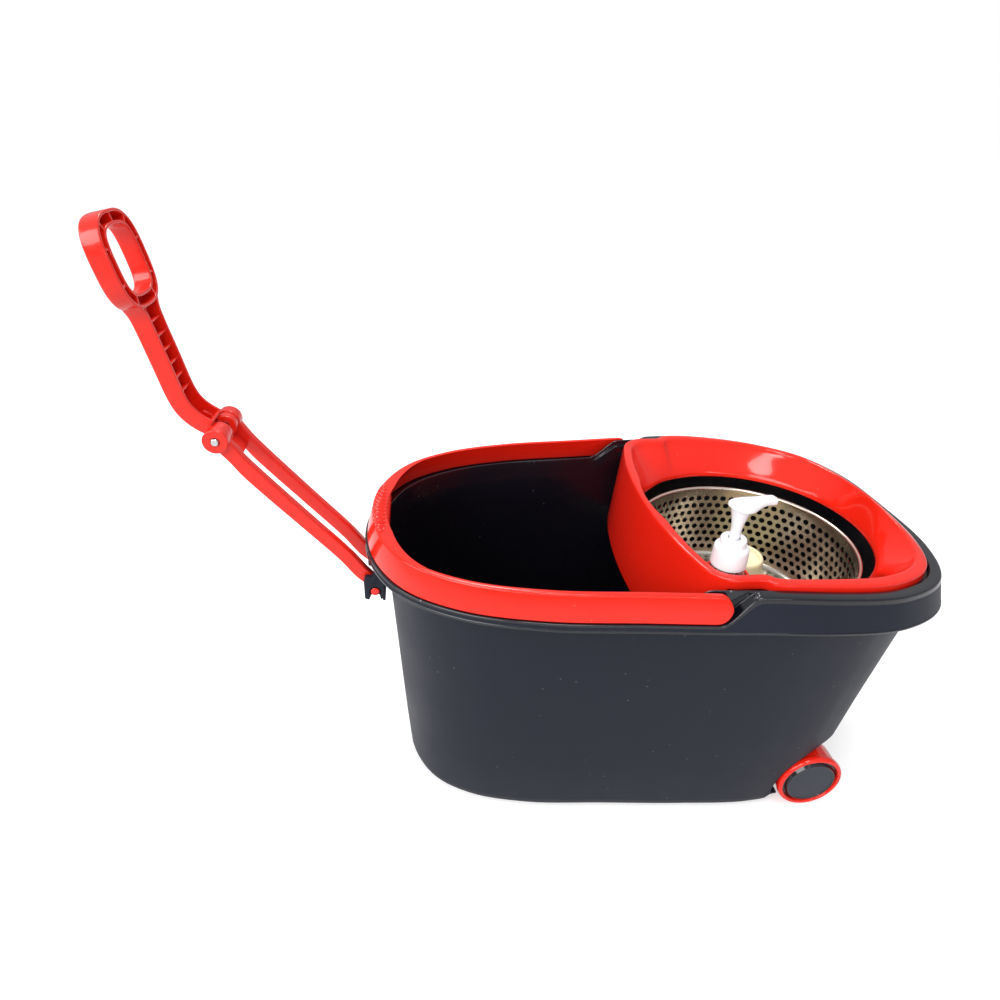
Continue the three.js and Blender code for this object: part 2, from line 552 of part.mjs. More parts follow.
function makePumpBody() {
  const top = BOTTLE.neck + 12.6;
  const profile = [[4.9, top - 0.2], [10.4, top - 0.2], [10.4, top - 1], [6.3, top - 1], [6.3, top - 42], [3.6, top - 46],
    [3.6, top - 52], [2.4, top - 52], [2.4, top - 45], [4.9, top - 41]];
  return turned(profile, [BOTTLE.x, BOTTLE.y, 0], 'z', 28);
}

function makeStem() {
  const z0 = BOTTLE.neck - 6;
  const profile = [[0, z0], [4.6, z0], [4.6, z0 + 4], [3, z0 + 5], [3, 298], [0, 298]];
  return turned(profile, [BOTTLE.x, BOTTLE.y, 0], 'z', 24);
}

function makeSpring() {
  class Helix extends THREE.Curve {
    getPoint(t) {
      const [u, v] = polar(3.7, 2 * Math.PI * 5 * t);
      return new THREE.Vector3(BOTTLE.x + u, BOTTLE.y + v, BOTTLE.neck - 27 + 20 * t);
    }
  }
  const section = new THREE.Shape(circle(0, 0, 0.5, 5).map(([u, v]) => new THREE.Vector2(u, v)));
  const wire = new THREE.ExtrudeGeometry(section, { steps: 60, extrudePath: new Helix(), bevelEnabled: false });
  const position = wire.getAttribute('position');
  const points = Array.from({ length: position.count }, (_, i) => [position.getX(i), position.getY(i), position.getZ(i)]);
  const tris = Array.from({ length: position.count / 3 }, (_, i) => [3 * i, 3 * i + 1, 3 * i + 2]);
  return toSolid(points, tris);
}

function makeDipTube() {
  const z1 = BOTTLE.neck + 12.6 - 45.5;
  return turned([[1.4, BOTTLE.base + 6], [2.1, BOTTLE.base + 6], [2.1, z1], [1.4, z1]], [BOTTLE.x, BOTTLE.y, 0], 'z', 16);
}

function makePumpHead() {
  const { x, y } = BOTTLE;
  const stem = turned([[3.2, 288], [4, 288], [4, 302], [5, 309], [6.8, 313], [6.8, 317], [0, 317], [0, 299], [3.2, 299]],
    [x, y, 0], 'z', 28);
  const station = (dx, half, z0, z1) => [[x + dx, y - half, z0 + 1.2], [x + dx, y - half * 0.7, z0],
    [x + dx, y + half * 0.7, z0], [x + dx, y + half, z0 + 1.2], [x + dx, y + half, z1 - 1], [x + dx, y + half * 0.8, z1],
    [x + dx, y - half * 0.8, z1], [x + dx, y - half, z1 - 1]];
  const head = loft([station(-10, 3, 314.5, 318), station(-7, 6.5, 312.5, 318.6), station(0, 8, 311, 319),
    station(8, 6.5, 312, 319.4), station(18, 4, 313.6, 319.8), station(27, 3, 313.6, 319.4), station(29, 2.6, 312.6, 318)]);
  return stem.add(head);
}

// ---------------------------------------------------------------- assembly
addNode('tub', makeTub(), BLACK, 0.5);
addNode('splash_cover', makeCover(), RED, 0.22);
addNode('bail', makeBail(), RED, 0.22);
addNode('bail_grip', makeBailGrip(), RED, 0.35);
for (const [name, side] of [['bail_pin_near', -1], ['bail_pin_far', 1]]) {
  const [a, b] = side < 0 ? [-137.4, -125.5] : [125.5, 137.4];
  addNode(name, rod(4, a, b, [BAIL_PIVOT.x, 0, BAIL_PIVOT.z], 'y', 24), BLACK, 0.5);
}

addNode('basket_drum', makeDrum(), STEEL, 0.25, 1);
addNode('basket_hub', makeHub(), 0xf2efd2, 0.4);
addNode('hub_clamp_plate', makeClampPlate(), BLACK, 0.5);
screwSpots().forEach((spot, k) => addNode(`hub_screw_${k + 1}`, makeHubScrew(spot), STEEL, 0.3, 1));
addNode('spindle_bush', turned([[4.2, 135.2], [9, 135.2], [9, 138.6], [6.9, 138.6], [6.9, 157], [4.2, 157]],
  [BASKET.x, 0, 0], 'z', 32), 0xb08d4f, 0.35, 1);
addNode('spindle_washer', turned([[4.3, 134.2], [8.6, 134.2], [8.6, 135], [4.3, 135]], [BASKET.x, 0, 0], 'z', 32),
  STEEL, 0.3, 1);
addNode('spindle', turned([[0, 106.4], [3.4, 106.4], [4, 107.2], [4, 158], [2.6, 160], [0, 160]],
  [BASKET.x, 0, 0], 'z', 24), STEEL, 0.25, 1);

addNode('wheel_axle', rod(AXLE.r, -117, 117, [AXLE.x, 0, AXLE.z], 'y', 24), STEEL, 0.3, 1);
for (const [name, side] of [['near', -1], ['far', 1]]) {
  addNode(`wheel_${name}`, makeWheel(side), RED, 0.3);
  addNode(`wheel_cap_${name}`, makeCap(side), BLACK, 0.5);
  const clip = [[4.15, 115.5], [7.2, 115.5], [7.2, 116.6], [4.15, 116.6]].map(([r, d]) => [r, side * d]);
  addNode(`axle_clip_${name}`, turned(clip, [AXLE.x, 0, AXLE.z], 'y', 24), STEEL, 0.4, 1);
}

addNode('handle_bracket', makeBracket(), BLACK, 0.45);
addNode('bracket_rivet_near', makeRivet(-1), STEEL, 0.35, 1);
addNode('bracket_rivet_far', makeRivet(1), STEEL, 0.35, 1);
addNode('pull_fork', makeFork(), RED, 0.3);
addNode('pull_handle', makeHandle(), RED, 0.3);
addNode('hinge_pin', turned([[0, -26.4], [2.2, -26.4], [PIN_R, -25.8], [PIN_R, 25.8], [2.2, 26.4], [0, 26.4]],
  [HINGE.x, 0, HINGE.z], 'y', 24), STEEL, 0.25, 1);

addNode('bottle', makeBottle(), 0xdfe8ea, 0.1);
addNode('bottle_closure', makeClosure(), WHITE, 0.35);
addNode('closure_gasket', makeGasket(), 0x9aa0a3, 0.7);
addNode('pump_body', makePumpBody(), WHITE, 0.4);
addNode('pump_stem', makeStem(), WHITE, 0.4);
addNode('pump_spring', makeSpring(), STEEL, 0.3, 1);
addNode('dip_tube', makeDipTube(), 0xe8ecec, 0.3);
addNode('pump_head', makePumpHead(), WHITE, 0.35);

export default group;
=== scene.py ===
# %% [markdown]
# # Spin mop bucket
# A boat-shaped black bucket with a steel spin basket under a red splash cover, a soap pump, a carry
# bail that lies on the rim, a folding pull handle at the nose and two wheels at the tail. The
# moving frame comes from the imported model; every visible piece is made here around it.

# %% Load the frame
import math

import bpy
import numpy as np
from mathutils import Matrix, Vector


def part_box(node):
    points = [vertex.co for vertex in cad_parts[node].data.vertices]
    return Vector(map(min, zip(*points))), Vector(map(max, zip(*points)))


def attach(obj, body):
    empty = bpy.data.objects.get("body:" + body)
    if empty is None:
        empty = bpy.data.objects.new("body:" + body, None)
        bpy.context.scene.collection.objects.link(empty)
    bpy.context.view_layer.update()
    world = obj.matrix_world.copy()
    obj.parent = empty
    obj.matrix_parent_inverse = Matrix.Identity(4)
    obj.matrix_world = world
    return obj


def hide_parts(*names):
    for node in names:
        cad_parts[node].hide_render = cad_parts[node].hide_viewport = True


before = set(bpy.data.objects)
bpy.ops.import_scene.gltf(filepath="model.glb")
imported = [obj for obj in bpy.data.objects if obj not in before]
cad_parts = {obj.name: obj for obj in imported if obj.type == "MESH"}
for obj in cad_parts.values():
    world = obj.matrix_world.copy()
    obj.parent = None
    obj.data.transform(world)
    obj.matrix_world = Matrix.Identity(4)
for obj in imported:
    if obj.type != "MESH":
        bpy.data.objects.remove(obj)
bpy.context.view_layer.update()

# %% [markdown]
# ## Working in millimetres
# Moulded parts are drawn in millimetres, so shapes are worked out in millimetres and scaled once,
# when the mesh is made. A shape is an array of points, rows x columns x 3, and never a loop.

# %% Small curves
MM = 0.001


def smooth(t):
    """0 below 0, 1 above 1, and 3t^2 - 2t^3 in between."""
    t = np.clip(t, 0, 1)
    return t * t * (3 - 2 * t)


def mix(a, b, t):
    """The value that lies a share t of the way from a to b."""
    return a + (b - a) * t


def centre_of(node):
    """Middle of a CAD node's box, in millimetres."""
    low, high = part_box(node)
    return np.array((low + high) / 2) / MM


def size_of(node):
    """Extent of a CAD node's box, in millimetres."""
    low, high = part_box(node)
    return np.array(high - low) / MM


# %% [markdown]
# ## From points to faces
# A grid of points becomes faces between neighbours. A closed direction joins its last line to its
# first, and an open direction can be closed by one many-sided face at each end. The signed volume
# of the closed surface says whether its faces look outwards; if it is negative they are turned.

# %% Grids to closed shells
def shell(grid, close_rows=False, close_columns=True, caps=True, material=0):
    """One closed shell as (points, faces, material of each face)."""
    grid = np.asarray(grid, float)
    rows, columns = grid.shape[:2]
    index = np.arange(rows * columns).reshape(rows, columns)
    if close_rows:
        index = np.vstack([index, index[:1]])
    if close_columns:
        index = np.hstack([index, index[:, :1]])
    quads = np.stack([index[:-1, :-1], index[:-1, 1:], index[1:, 1:], index[1:, :-1]], -1)
    quads = quads.reshape(-1, 4)
    points = grid.reshape(-1, 3)
    # Signed volume: each quad is two triangles, each a tetrahedron with the shell's middle.
    a, b, c, d = (points[quads[:, k]] - points.mean(0) for k in range(4))
    volume = (np.einsum("ij,ij", a, np.cross(b, c)) + np.einsum("ij,ij", a, np.cross(c, d))) / 6
    ends = []
    if caps and not close_rows:
        first, last = index[0, :columns][::-1], index[-1, :columns]
        ends = [first.tolist(), last.tolist()]
        for end in ends:
            p = points[end] - points.mean(0)
            middle = np.broadcast_to(p.mean(0), p.shape)
            volume += np.einsum("ij,ij", np.cross(p, np.roll(p, -1, 0)), middle) / 6
    faces = quads.tolist() + ends
    if volume < 0:
        faces = [face[::-1] for face in faces]
    shade = material if np.ndim(material) else np.full(len(faces), material)
    if np.ndim(material):
        shade = np.concatenate([np.repeat(material, columns), np.full(len(ends), material[0])])
    return points, faces, shade


def make_piece(name, shells, materials, sharp=38.0):
    """Shells joined into one object, in metres, smooth except over edges sharper than the angle."""
    points, faces, shades, start = [], [], [], 0
    for p, f, m in shells:
        points.append(p)
        faces += [[i + start for i in face] for face in f]
        shades.append(m)
        start += len(p)
    mesh = bpy.data.meshes.new(name)
    mesh.from_pydata((np.concatenate(points) * MM).tolist(), [], faces)
    mesh.polygons.foreach_set("material_index", np.concatenate(shades).astype(np.int32))
    piece = bpy.data.objects.new(name, mesh)
    bpy.context.scene.collection.objects.link(piece)
    for material in materials:
        mesh.materials.append(material)
    weld(mesh)
    finish_shading(mesh, sharp)
    return piece


def weld(mesh, gap=1.0e-6):
    """Merges equal points and drops faces that shrank to a line, as at poles."""
    import bmesh
    bm = bmesh.new()
    bm.from_mesh(mesh)
    bmesh.ops.remove_doubles(bm, verts=bm.verts, dist=gap)
    bmesh.ops.dissolve_degenerate(bm, dist=gap / 2, edges=bm.edges)
    loose = [v for v in bm.verts if not v.link_faces]
    bmesh.ops.delete(bm, geom=loose, context="VERTS")
    bm.to_mesh(mesh)
    bm.free()


def finish_shading(mesh, sharp):
    """Smooth shading with hard edges where two faces meet at more than the angle in degrees."""
    mesh.polygons.foreach_set("use_smooth", np.ones(len(mesh.polygons), bool))
    mesh.set_sharp_from_angle(angle=math.radians(sharp))
    mesh.update()


def hand_over(piece, body, slot, *nodes):
    """Ties a finished piece to its CAD body and hides the CAD nodes it stands for. The slot is not used."""
    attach(piece, body)
    if nodes:
        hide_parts(*nodes)
    print(f"{piece.name}: {len(piece.data.polygons)} faces, rides {body}")
    return piece


# %% [markdown]
# ## Rounded corners
# Injection-moulded edges are never knife-sharp: each corner of a section gets a small radius. The
# corner point becomes the control point of a quadratic curve that starts and ends a radius away.

# %% Rounding a section, and carrying it round
def rounded(rings, radii, steps=4, closed=True):
    """Corners x stations x 3 in, with each corner replaced by a curve a(1-t)^2 + 2ct(1-t) + bt^2."""
    rings = np.asarray(rings, float)
    radii = np.asarray(radii, float)
    if radii.ndim < rings.ndim - 1:
        radii = radii.reshape(-1, *([1] * (rings.ndim - 2)))
    radii = np.broadcast_to(radii, rings.shape[:-1])
    back, ahead = np.roll(rings, 1, 0) - rings, np.roll(rings, -1, 0) - rings
    if not closed:
        back[0], ahead[-1] = 0, 0
    ends = []
    for side in (back, ahead):
        length = np.linalg.norm(side, axis=-1)
        cut = np.minimum(radii, 0.48 * length) / np.maximum(length, 1e-9)
        ends.append(rings + side * cut[..., None])
    t = np.linspace(0, 1, steps + 1).reshape(1, -1, *([1] * (rings.ndim - 1)))
    a, b, c = ends[0][:, None], ends[1][:, None], rings[:, None]
    curve = a * (1 - t) ** 2 + 2 * c * t * (1 - t) + b * t**2
    return curve.reshape(-1, *rings.shape[1:])


def turned(profile, centre, axis="z", segments=96, radii=None, steps=4):
    """A section of (radius, height, corner radius) revolved about a line through centre."""
    profile = np.asarray(profile, float)
    corners = profile[:, 2] if profile.shape[1] > 2 else np.zeros(len(profile))
    on_axis = profile[0, 0] == 0 and profile[-1, 0] == 0
    section = rounded(profile[:, :2], corners if radii is None else radii, steps, closed=not on_axis)
    angle = np.linspace(0, 2 * np.pi, segments, endpoint=False)
    u, v = np.outer(section[:, 0], np.cos(angle)), np.outer(section[:, 0], np.sin(angle))
    h = np.repeat(section[:, 1:], segments, 1)
    order = {"z": (u, v, h), "y": (u, h, v), "x": (h, u, v)}[axis]
    return shell(np.stack(order, -1) + np.asarray(centre, float), close_rows=not on_axis, caps=False)


def even(points, count):
    """A closed loop of 2-D points sampled evenly by length, as (x, y, outward normal x, y)."""
    closed = np.vstack([points, points[:1]])
    length = np.concatenate([[0], np.cumsum(np.linalg.norm(np.diff(closed, axis=0), axis=1))])
    s = np.linspace(0, length[-1], count, endpoint=False)
    x, y = (np.interp(s, length, closed[:, k]) for k in (0, 1))
    tx, ty = np.roll(x, -1) - np.roll(x, 1), np.roll(y, -1) - np.roll(y, 1)
    size = np.hypot(tx, ty)
    area = np.sum(x * np.roll(y, -1) - np.roll(x, -1) * y)
    turn = 1 if area > 0 else -1
    return x, y, turn * ty / size, -turn * tx / size


def spline(points, per_span=60, closed=True):
    """Centripetal Catmull-Rom curve: Hermite spans whose end slopes weigh neighbours by root length."""
    points = np.asarray(points, float)
    if not closed:
        points = np.vstack([2 * points[0] - points[1], points, 2 * points[-1] - points[-2]])
    p0, p1, p2, p3 = (np.roll(points, k, 0) for k in (1, 0, -1, -2))
    spans = ((p0, p1), (p1, p2), (p2, p3))
    d0, d1, d2 = (np.sqrt(np.linalg.norm(q - p, axis=1))[:, None] for p, q in spans)
    m1 = ((p1 - p0) / d0 - (p2 - p0) / (d0 + d1) + (p2 - p1) / d1) * d1
    m2 = ((p2 - p1) / d1 - (p3 - p1) / (d1 + d2) + (p3 - p2) / d2) * d1
    t = np.linspace(0, 1, per_span, endpoint=False)[:, None, None]
    dense = p1 + m1 * t + (3 * (p2 - p1) - 2 * m1 - m2) * t**2 + (2 * (p1 - p2) + m1 + m2) * t**3
    dense = dense.transpose(1, 0, 2)
    if closed:
        return dense.reshape(-1, points.shape[1])
    return np.vstack([dense[1:-2].reshape(-1, points.shape[1]), points[-2]])


def mirrored(half, count):
    """A half outline and its mirror image about y = 0 as one smooth closed outline."""
    half = np.asarray(half, float)
    return even(spline(np.vstack([half, half[-2:0:-1] * [1, -1]])), count)


# %% [markdown]
# ## Cutting and joining solids
# Where two moulded shapes run into each other, such as the wheel arch and the tub, a Boolean joins
# them the way the mould does. The result is kept as a plain mesh.

# %% Booleans
def combined(piece, tool, operation):
    """The piece with the tool added, cut away or kept in common, as the operation says.

    The tool is used up, and the faces it leaves take the piece's first material."""
    count = len(piece.data.materials)
    modifier = piece.modifiers.new("join", "BOOLEAN")
    modifier.object, modifier.operation, modifier.solver = tool, operation, "MANIFOLD"
    ready = piece.evaluated_get(bpy.context.evaluated_depsgraph_get())
    mesh = bpy.data.meshes.new_from_object(ready)
    piece.modifiers.clear()
    slots = np.empty(len(mesh.polygons), np.int32)
    mesh.polygons.foreach_get("material_index", slots)
    mesh.polygons.foreach_set("material_index", np.where(slots < count, slots, 0))
    while len(mesh.materials) > count:
        mesh.materials.pop()
    old, piece.data = piece.data, mesh
    bpy.data.meshes.remove(old)
    bpy.data.objects.remove(tool)
    return piece


def tool_of(*shells):
    """An unnamed shape to cut or join with."""
    return make_piece("tool", shells, [])


def join(piece, solid):
    """The piece with a closed shell added."""
    return combined(piece, tool_of(solid), "UNION")


def cut(piece, solid):
    """The piece with a closed shell cut away."""
    return combined(piece, tool_of(solid), "DIFFERENCE")


def unit(rows):
    """Rows of 2-D vectors, each scaled to length 1."""
    return rows / np.maximum(np.linalg.norm(rows, axis=1), 1e-9)[:, None]


def prism(outline, low, high, axis="y", radius=0.0, steps=3):
    """A closed 2-D outline pushed along an axis, with its corners and its end edges rounded."""
    flat = np.asarray(outline, float)
    flat = rounded(flat[:, None, :], np.full(len(flat), radius * 2), steps)[:, 0] if radius else flat
    tangent = unit(unit(np.roll(flat, -1, 0) - flat) + unit(flat - np.roll(flat, 1, 0)))
    area = np.sum(flat[:, 0] * np.roll(flat[:, 1], -1) - np.roll(flat[:, 0], -1) * flat[:, 1])
    outward = np.stack([tangent[:, 1], -tangent[:, 0]], -1) * (1 if area > 0 else -1)
    turn = np.linspace(0, np.pi / 2, steps + 1) if radius else np.zeros(1)
    inset = radius * (1 - np.sin(turn))
    rise = radius * (1 - np.cos(turn))
    height = np.concatenate([low + rise, (high - rise)[::-1]])
    inset = np.concatenate([inset, inset[::-1]])
    rows = flat[None] - outward[None] * inset[:, None, None]
    h = np.broadcast_to(height[:, None], rows.shape[:2])
    order = {"y": (rows[..., 0], h, rows[..., 1]), "z": (rows[..., 0], rows[..., 1], h),
             "x": (h, rows[..., 0], rows[..., 1])}[axis]
    return shell(np.stack(order, -1))


def rod(radius, low, high, centre, axis="z", segments=64, edge=0.0):
    """A round bar with softened ends."""
    profile = [(0, low, 0), (radius, low, edge), (radius, high, edge), (0, high, 0)]
    return turned(profile, centre, axis, segments)


def turned_part(name, profile, centre, material, body, slot, stands_for, **how):
    """A profile revolved, made into a piece of one material and handed over."""
    piece = make_piece(name, [turned(profile, centre, **how)], [material])
    return hand_over(piece, body, slot, stands_for)


# %% [markdown]
# ## Shared finishes
# Moulded plastic is not one flat colour. Its gloss changes a little over each surface, the mould
# leaves a fine grain or a faint ripple, and handling leaves hairline scuffs and a little dust. Each
# effect is a node group, built once, and every material uses it with its own values.

# %% Node helpers
def group(name, inputs, outputs):
    """A shader node group with named float inputs and named outputs (name, socket type)."""
    tree = bpy.data.node_groups.new(name, "ShaderNodeTree")
    tree.interface.new_socket("Vector", in_out="INPUT", socket_type="NodeSocketVector")
    for label, value in inputs.items():
        tree.interface.new_socket(label, in_out="INPUT", socket_type="NodeSocketFloat").default_value = value
    for label in outputs:
        tree.interface.new_socket(label, in_out="OUTPUT", socket_type="NodeSocketFloat")
    return tree, tree.nodes.new("NodeGroupInput"), tree.nodes.new("NodeGroupOutput")


def node(tree, kind, links=None, **values):
    """A node with its properties or input values set and its inputs linked by name or number."""
    made = tree.nodes.new(kind)
    for key, value in values.items():
        if hasattr(made, key):
            setattr(made, key, value)
        else:
            made.inputs[key.replace("_", " ")].default_value = value
    for key, source in (links or {}).items():
        tree.links.new(source, made.inputs[key])
    return made


def maths(tree, operation, a, b=None, clamp=False):
    """A Math node on two sockets or numbers; returns its output."""
    made = tree.nodes.new("ShaderNodeMath")
    made.operation, made.use_clamp = operation, clamp
    for slot, value in enumerate((a, b)):
        if isinstance(value, (int, float)):
            made.inputs[slot].default_value = value
        elif value is not None:
            tree.links.new(value, made.inputs[slot])
    return made.outputs[0]


def new_material(name):
    """A material with its node tree, its shader and the object's own coordinates."""
    material = bpy.data.materials.new(name)
    material.use_nodes = True
    tree = material.node_tree
    place = node(tree, "ShaderNodeTexCoord").outputs["Object"]
    return material, tree, tree.nodes["Principled BSDF"], place


# %% Effect groups: grain, scuffs, dust
def make_grain():
    """Two scales of noise: Fine for the mould's texture, Broad for slow changes of gloss."""
    tree, start, end = group("moulded_grain", {"Fine Scale": 2500.0, "Broad Scale": 18.0}, ["Fine", "Broad"])
    given = start.outputs
    fine = node(tree, "ShaderNodeTexNoise", {"Vector": given["Vector"], "Scale": given["Fine Scale"]},
                Detail=3.0, Roughness=0.6)
    broad = node(tree, "ShaderNodeTexNoise", {"Vector": given["Vector"], "Scale": given["Broad Scale"]},
                 Detail=4.0, Roughness=0.55)
    tree.links.new(fine.outputs[0], end.inputs["Fine"])
    tree.links.new(broad.outputs[0], end.inputs["Broad"])
    return tree


def make_scuffs():
    """Hairlines: thin bands of a stretched, bent noise, kept only where a second noise is high."""
    tree, start, end = group("hairline_scuffs", {"Length": 14.0, "Amount": 0.5}, ["Mask"])
    bend = node(tree, "ShaderNodeTexNoise", {"Vector": start.outputs["Vector"]}, Scale=9.0, Detail=2.0)
    moved = node(tree, "ShaderNodeVectorMath", {0: start.outputs["Vector"], 1: bend.outputs["Color"]},
                 operation="MULTIPLY_ADD")
    moved.inputs[1].default_value = (1.0, 1.0, 1.0)
    tree.links.new(start.outputs["Vector"], moved.inputs[0])
    tree.links.new(bend.outputs["Color"], moved.inputs[2])
    stretched = node(tree, "ShaderNodeMapping", {"Vector": moved.outputs[0]}, vector_type="POINT")
    stretched.inputs["Rotation"].default_value = (0.6, 0.3, 0.5)
    stretched.inputs["Scale"].default_value = (1.0, 9.0, 30.0)
    along = {"Vector": stretched.outputs[0], "Scale": start.outputs["Length"]}
    lines = node(tree, "ShaderNodeTexNoise", along, Detail=1.0)
    near = maths(tree, "ABSOLUTE", maths(tree, "SUBTRACT", lines.outputs[0], 0.5))
    thin = maths(tree, "SUBTRACT", 1.0, maths(tree, "MULTIPLY", near, 90.0), clamp=True)
    patch = node(tree, "ShaderNodeTexNoise", {"Vector": start.outputs["Vector"]}, Scale=26.0, Detail=2.0)
    chosen = maths(tree, "MULTIPLY", maths(tree, "SUBTRACT", patch.outputs[0], 0.56), 8.0, clamp=True)
    mask = maths(tree, "MULTIPLY", maths(tree, "MULTIPLY", thin, chosen), start.outputs["Amount"], clamp=True)
    tree.links.new(mask, end.inputs["Mask"])
    return tree


def make_dust():
    """Sparse specks: the middles of a few cells of a Voronoi pattern, picked by the cell's own colour."""
    tree, start, end = group("dust_specks", {"Scale": 160.0, "Share": 0.06, "Size": 0.12}, ["Mask"])
    given = start.outputs
    cells = node(tree, "ShaderNodeTexVoronoi", {"Vector": given["Vector"], "Scale": given["Scale"]})
    parts = node(tree, "ShaderNodeSeparateColor", {"Color": cells.outputs["Color"]})
    picked = maths(tree, "LESS_THAN", parts.outputs[0], start.outputs["Share"])
    close = maths(tree, "LESS_THAN", cells.outputs["Distance"], start.outputs["Size"])
    tree.links.new(maths(tree, "MULTIPLY", picked, close), end.inputs["Mask"])
    return tree


GRAIN, SCUFFS, DUST = make_grain(), make_scuffs(), make_dust()


# %% [markdown]
# ## Plastics
# One builder makes every moulded plastic: a base colour that drifts slightly, a roughness made of a
# plain value, the broad drift and the scuffs, and a bump made of the fine grain, the ripple of a
# thick moulding and the scuffs. Glossy red, satin black, ivory nylon and white polypropylene are
# the same recipe with other numbers.

# %% The plastic builder
def plastic(name, colour, roughness, grain=0.02, grain_scale=2500.0, ripple=0.0, drift=0.06, scuff=0.4,
            dust=0.5, dust_colour=(0.35, 0.35, 0.36), coat=0.0, specular=0.5, subsurface=0.0):
    """A moulded plastic. Grain and ripple are bump heights in millimetres, drift a share of the colour."""
    material, tree, shader, place = new_material(name)
    effect = {}
    for key, made in (("grain", GRAIN), ("scuff", SCUFFS), ("dust", DUST)):
        effect[key] = node(tree, "ShaderNodeGroup", node_tree=made)
        tree.links.new(place, effect[key].inputs["Vector"])
    effect["grain"].inputs["Fine Scale"].default_value = grain_scale
    effect["scuff"].inputs["Amount"].default_value = scuff
    broad, fine = effect["grain"].outputs["Broad"], effect["grain"].outputs["Fine"]
    # Colour: darker and lighter by the drift, then dust on top.
    shift = maths(tree, "MULTIPLY", maths(tree, "SUBTRACT", broad, 0.5), 2 * drift)
    value = maths(tree, "ADD", shift, 1.0)
    tint = node(tree, "ShaderNodeHueSaturation", {"Value": value}, Color=(*colour, 1.0))
    dusty = node(tree, "ShaderNodeMixRGB", {"Color1": tint.outputs[0]}, Color2=(*dust_colour, 1.0))
    tree.links.new(maths(tree, "MULTIPLY", effect["dust"].outputs[0], dust), dusty.inputs["Fac"])
    tree.links.new(dusty.outputs[0], shader.inputs["Base Color"])
    # Roughness: plain value, drift, scuffs.
    uneven = maths(tree, "MULTIPLY", maths(tree, "SUBTRACT", broad, 0.5), roughness * 0.5)
    rough = maths(tree, "ADD", uneven, roughness)
    rough = maths(tree, "ADD", rough, maths(tree, "MULTIPLY", effect["scuff"].outputs[0], 0.22), clamp=True)
    tree.links.new(rough, shader.inputs["Roughness"])
    # Bump: heights in millimetres.
    height = maths(tree, "MULTIPLY", fine, grain)
    height = maths(tree, "ADD", height, maths(tree, "MULTIPLY", broad, ripple))
    height = maths(tree, "SUBTRACT", height, maths(tree, "MULTIPLY", effect["scuff"].outputs[0], 0.01))
    relief = node(tree, "ShaderNodeBump", {"Height": height}, Distance=MM, Strength=1.0)
    tree.links.new(relief.outputs[0], shader.inputs["Normal"])
    shader.inputs["Coat Weight"].default_value = coat
    shader.inputs["Coat Roughness"].default_value = 0.06
    shader.inputs["Specular IOR Level"].default_value = specular
    if subsurface:
        shader.inputs["Subsurface Weight"].default_value = subsurface
        shader.inputs["Subsurface Radius"].default_value = (0.010, 0.006, 0.003)
        shader.inputs["Subsurface Scale"].default_value = 0.5
    return material


# %% The plastics of this bucket
RED = (0.80, 0.016, 0.006)
BLACK = (0.0095, 0.012, 0.022)
red_gloss = plastic("red_gloss", RED, 0.14, grain=0.0012, ripple=0.05, drift=0.04, coat=0.35, dust=0.15,
                    dust_colour=(0.85, 0.3, 0.25), specular=0.3)
red_satin = plastic("red_satin", RED, 0.26, grain=0.004, ripple=0.03, drift=0.04, coat=0.5, dust=0.15,
                    dust_colour=(0.85, 0.3, 0.25), specular=0.3)
black_satin = plastic("black_satin", BLACK, 0.42, grain=0.006, grain_scale=1800.0, ripple=0.04, drift=0.10,
                      dust=0.2, specular=0.25)
black_gloss = plastic("black_gloss", (0.005, 0.006, 0.010), 0.12, grain=0.0015, ripple=0.03, drift=0.10,
                      coat=0.4)
# The tub's own black made darker for its inner faces: painted shade inside the tub.
black_inside_painted_shade = plastic("black_inside_painted_shade", (0.0045, 0.0045, 0.0075), 0.26, grain=0.0015, ripple=0.04, dust=0.1,
                       specular=0.3)
cap_black = plastic("cap_black", (0.022, 0.026, 0.040), 0.42, grain=0.008, grain_scale=2200.0, drift=0.08)
white_plastic = plastic("white_plastic", (0.86, 0.86, 0.87), 0.30, grain=0.0015, drift=0.015, scuff=0.2,
                        dust=0.1, subsurface=0.15)
ivory_nylon = plastic("ivory_nylon", (0.86, 0.84, 0.56), 0.34, grain=0.003, drift=0.03, subsurface=0.35)
tube_plastic = plastic("tube_plastic", (0.80, 0.83, 0.83), 0.30, grain=0.002, drift=0.02, dust=0.0)
gasket_rubber = plastic("gasket_rubber", (0.28, 0.30, 0.31), 0.70, grain=0.01, drift=0.05, dust=0.2)


# %% [markdown]
# ## Metals and clear plastic
# The basket is pressed sheet: polishing leaves fine lines round its axis, and broad yellowish patches
# painted into its colour are a painted reflection of the room. Pins and the axle are drawn bar with the
# same lines, set closer. The soap bottle is blown clear plastic, which ripples slightly where it cooled.

# %% Turning lines, steel, brass and bottle plastic
def make_turning_lines():
    """Noise that hardly changes round an axis and changes quickly along radius and height."""
    tree, start, end = group("turning_lines", {"Around": 1.5, "Across": 900.0}, ["Lines"])
    parts = node(tree, "ShaderNodeSeparateXYZ", {"Vector": start.outputs["Vector"]})
    x, y, z = (parts.outputs[k] for k in range(3))
    square = maths(tree, "ADD", maths(tree, "MULTIPLY", x, x), maths(tree, "MULTIPLY", y, y))
    radius = maths(tree, "SQRT", square)
    around = maths(tree, "MULTIPLY", maths(tree, "ARCTAN2", y, x), start.outputs["Around"])
    outwards = maths(tree, "MULTIPLY", radius, start.outputs["Across"])
    upwards = maths(tree, "MULTIPLY", z, start.outputs["Across"])
    place = node(tree, "ShaderNodeCombineXYZ", {0: around, 1: outwards, 2: upwards})
    lines = node(tree, "ShaderNodeTexNoise", {"Vector": place.outputs[0]}, Scale=1.0, Detail=3.0)
    tree.links.new(lines.outputs[0], end.inputs["Lines"])
    return tree


TURNING = make_turning_lines()


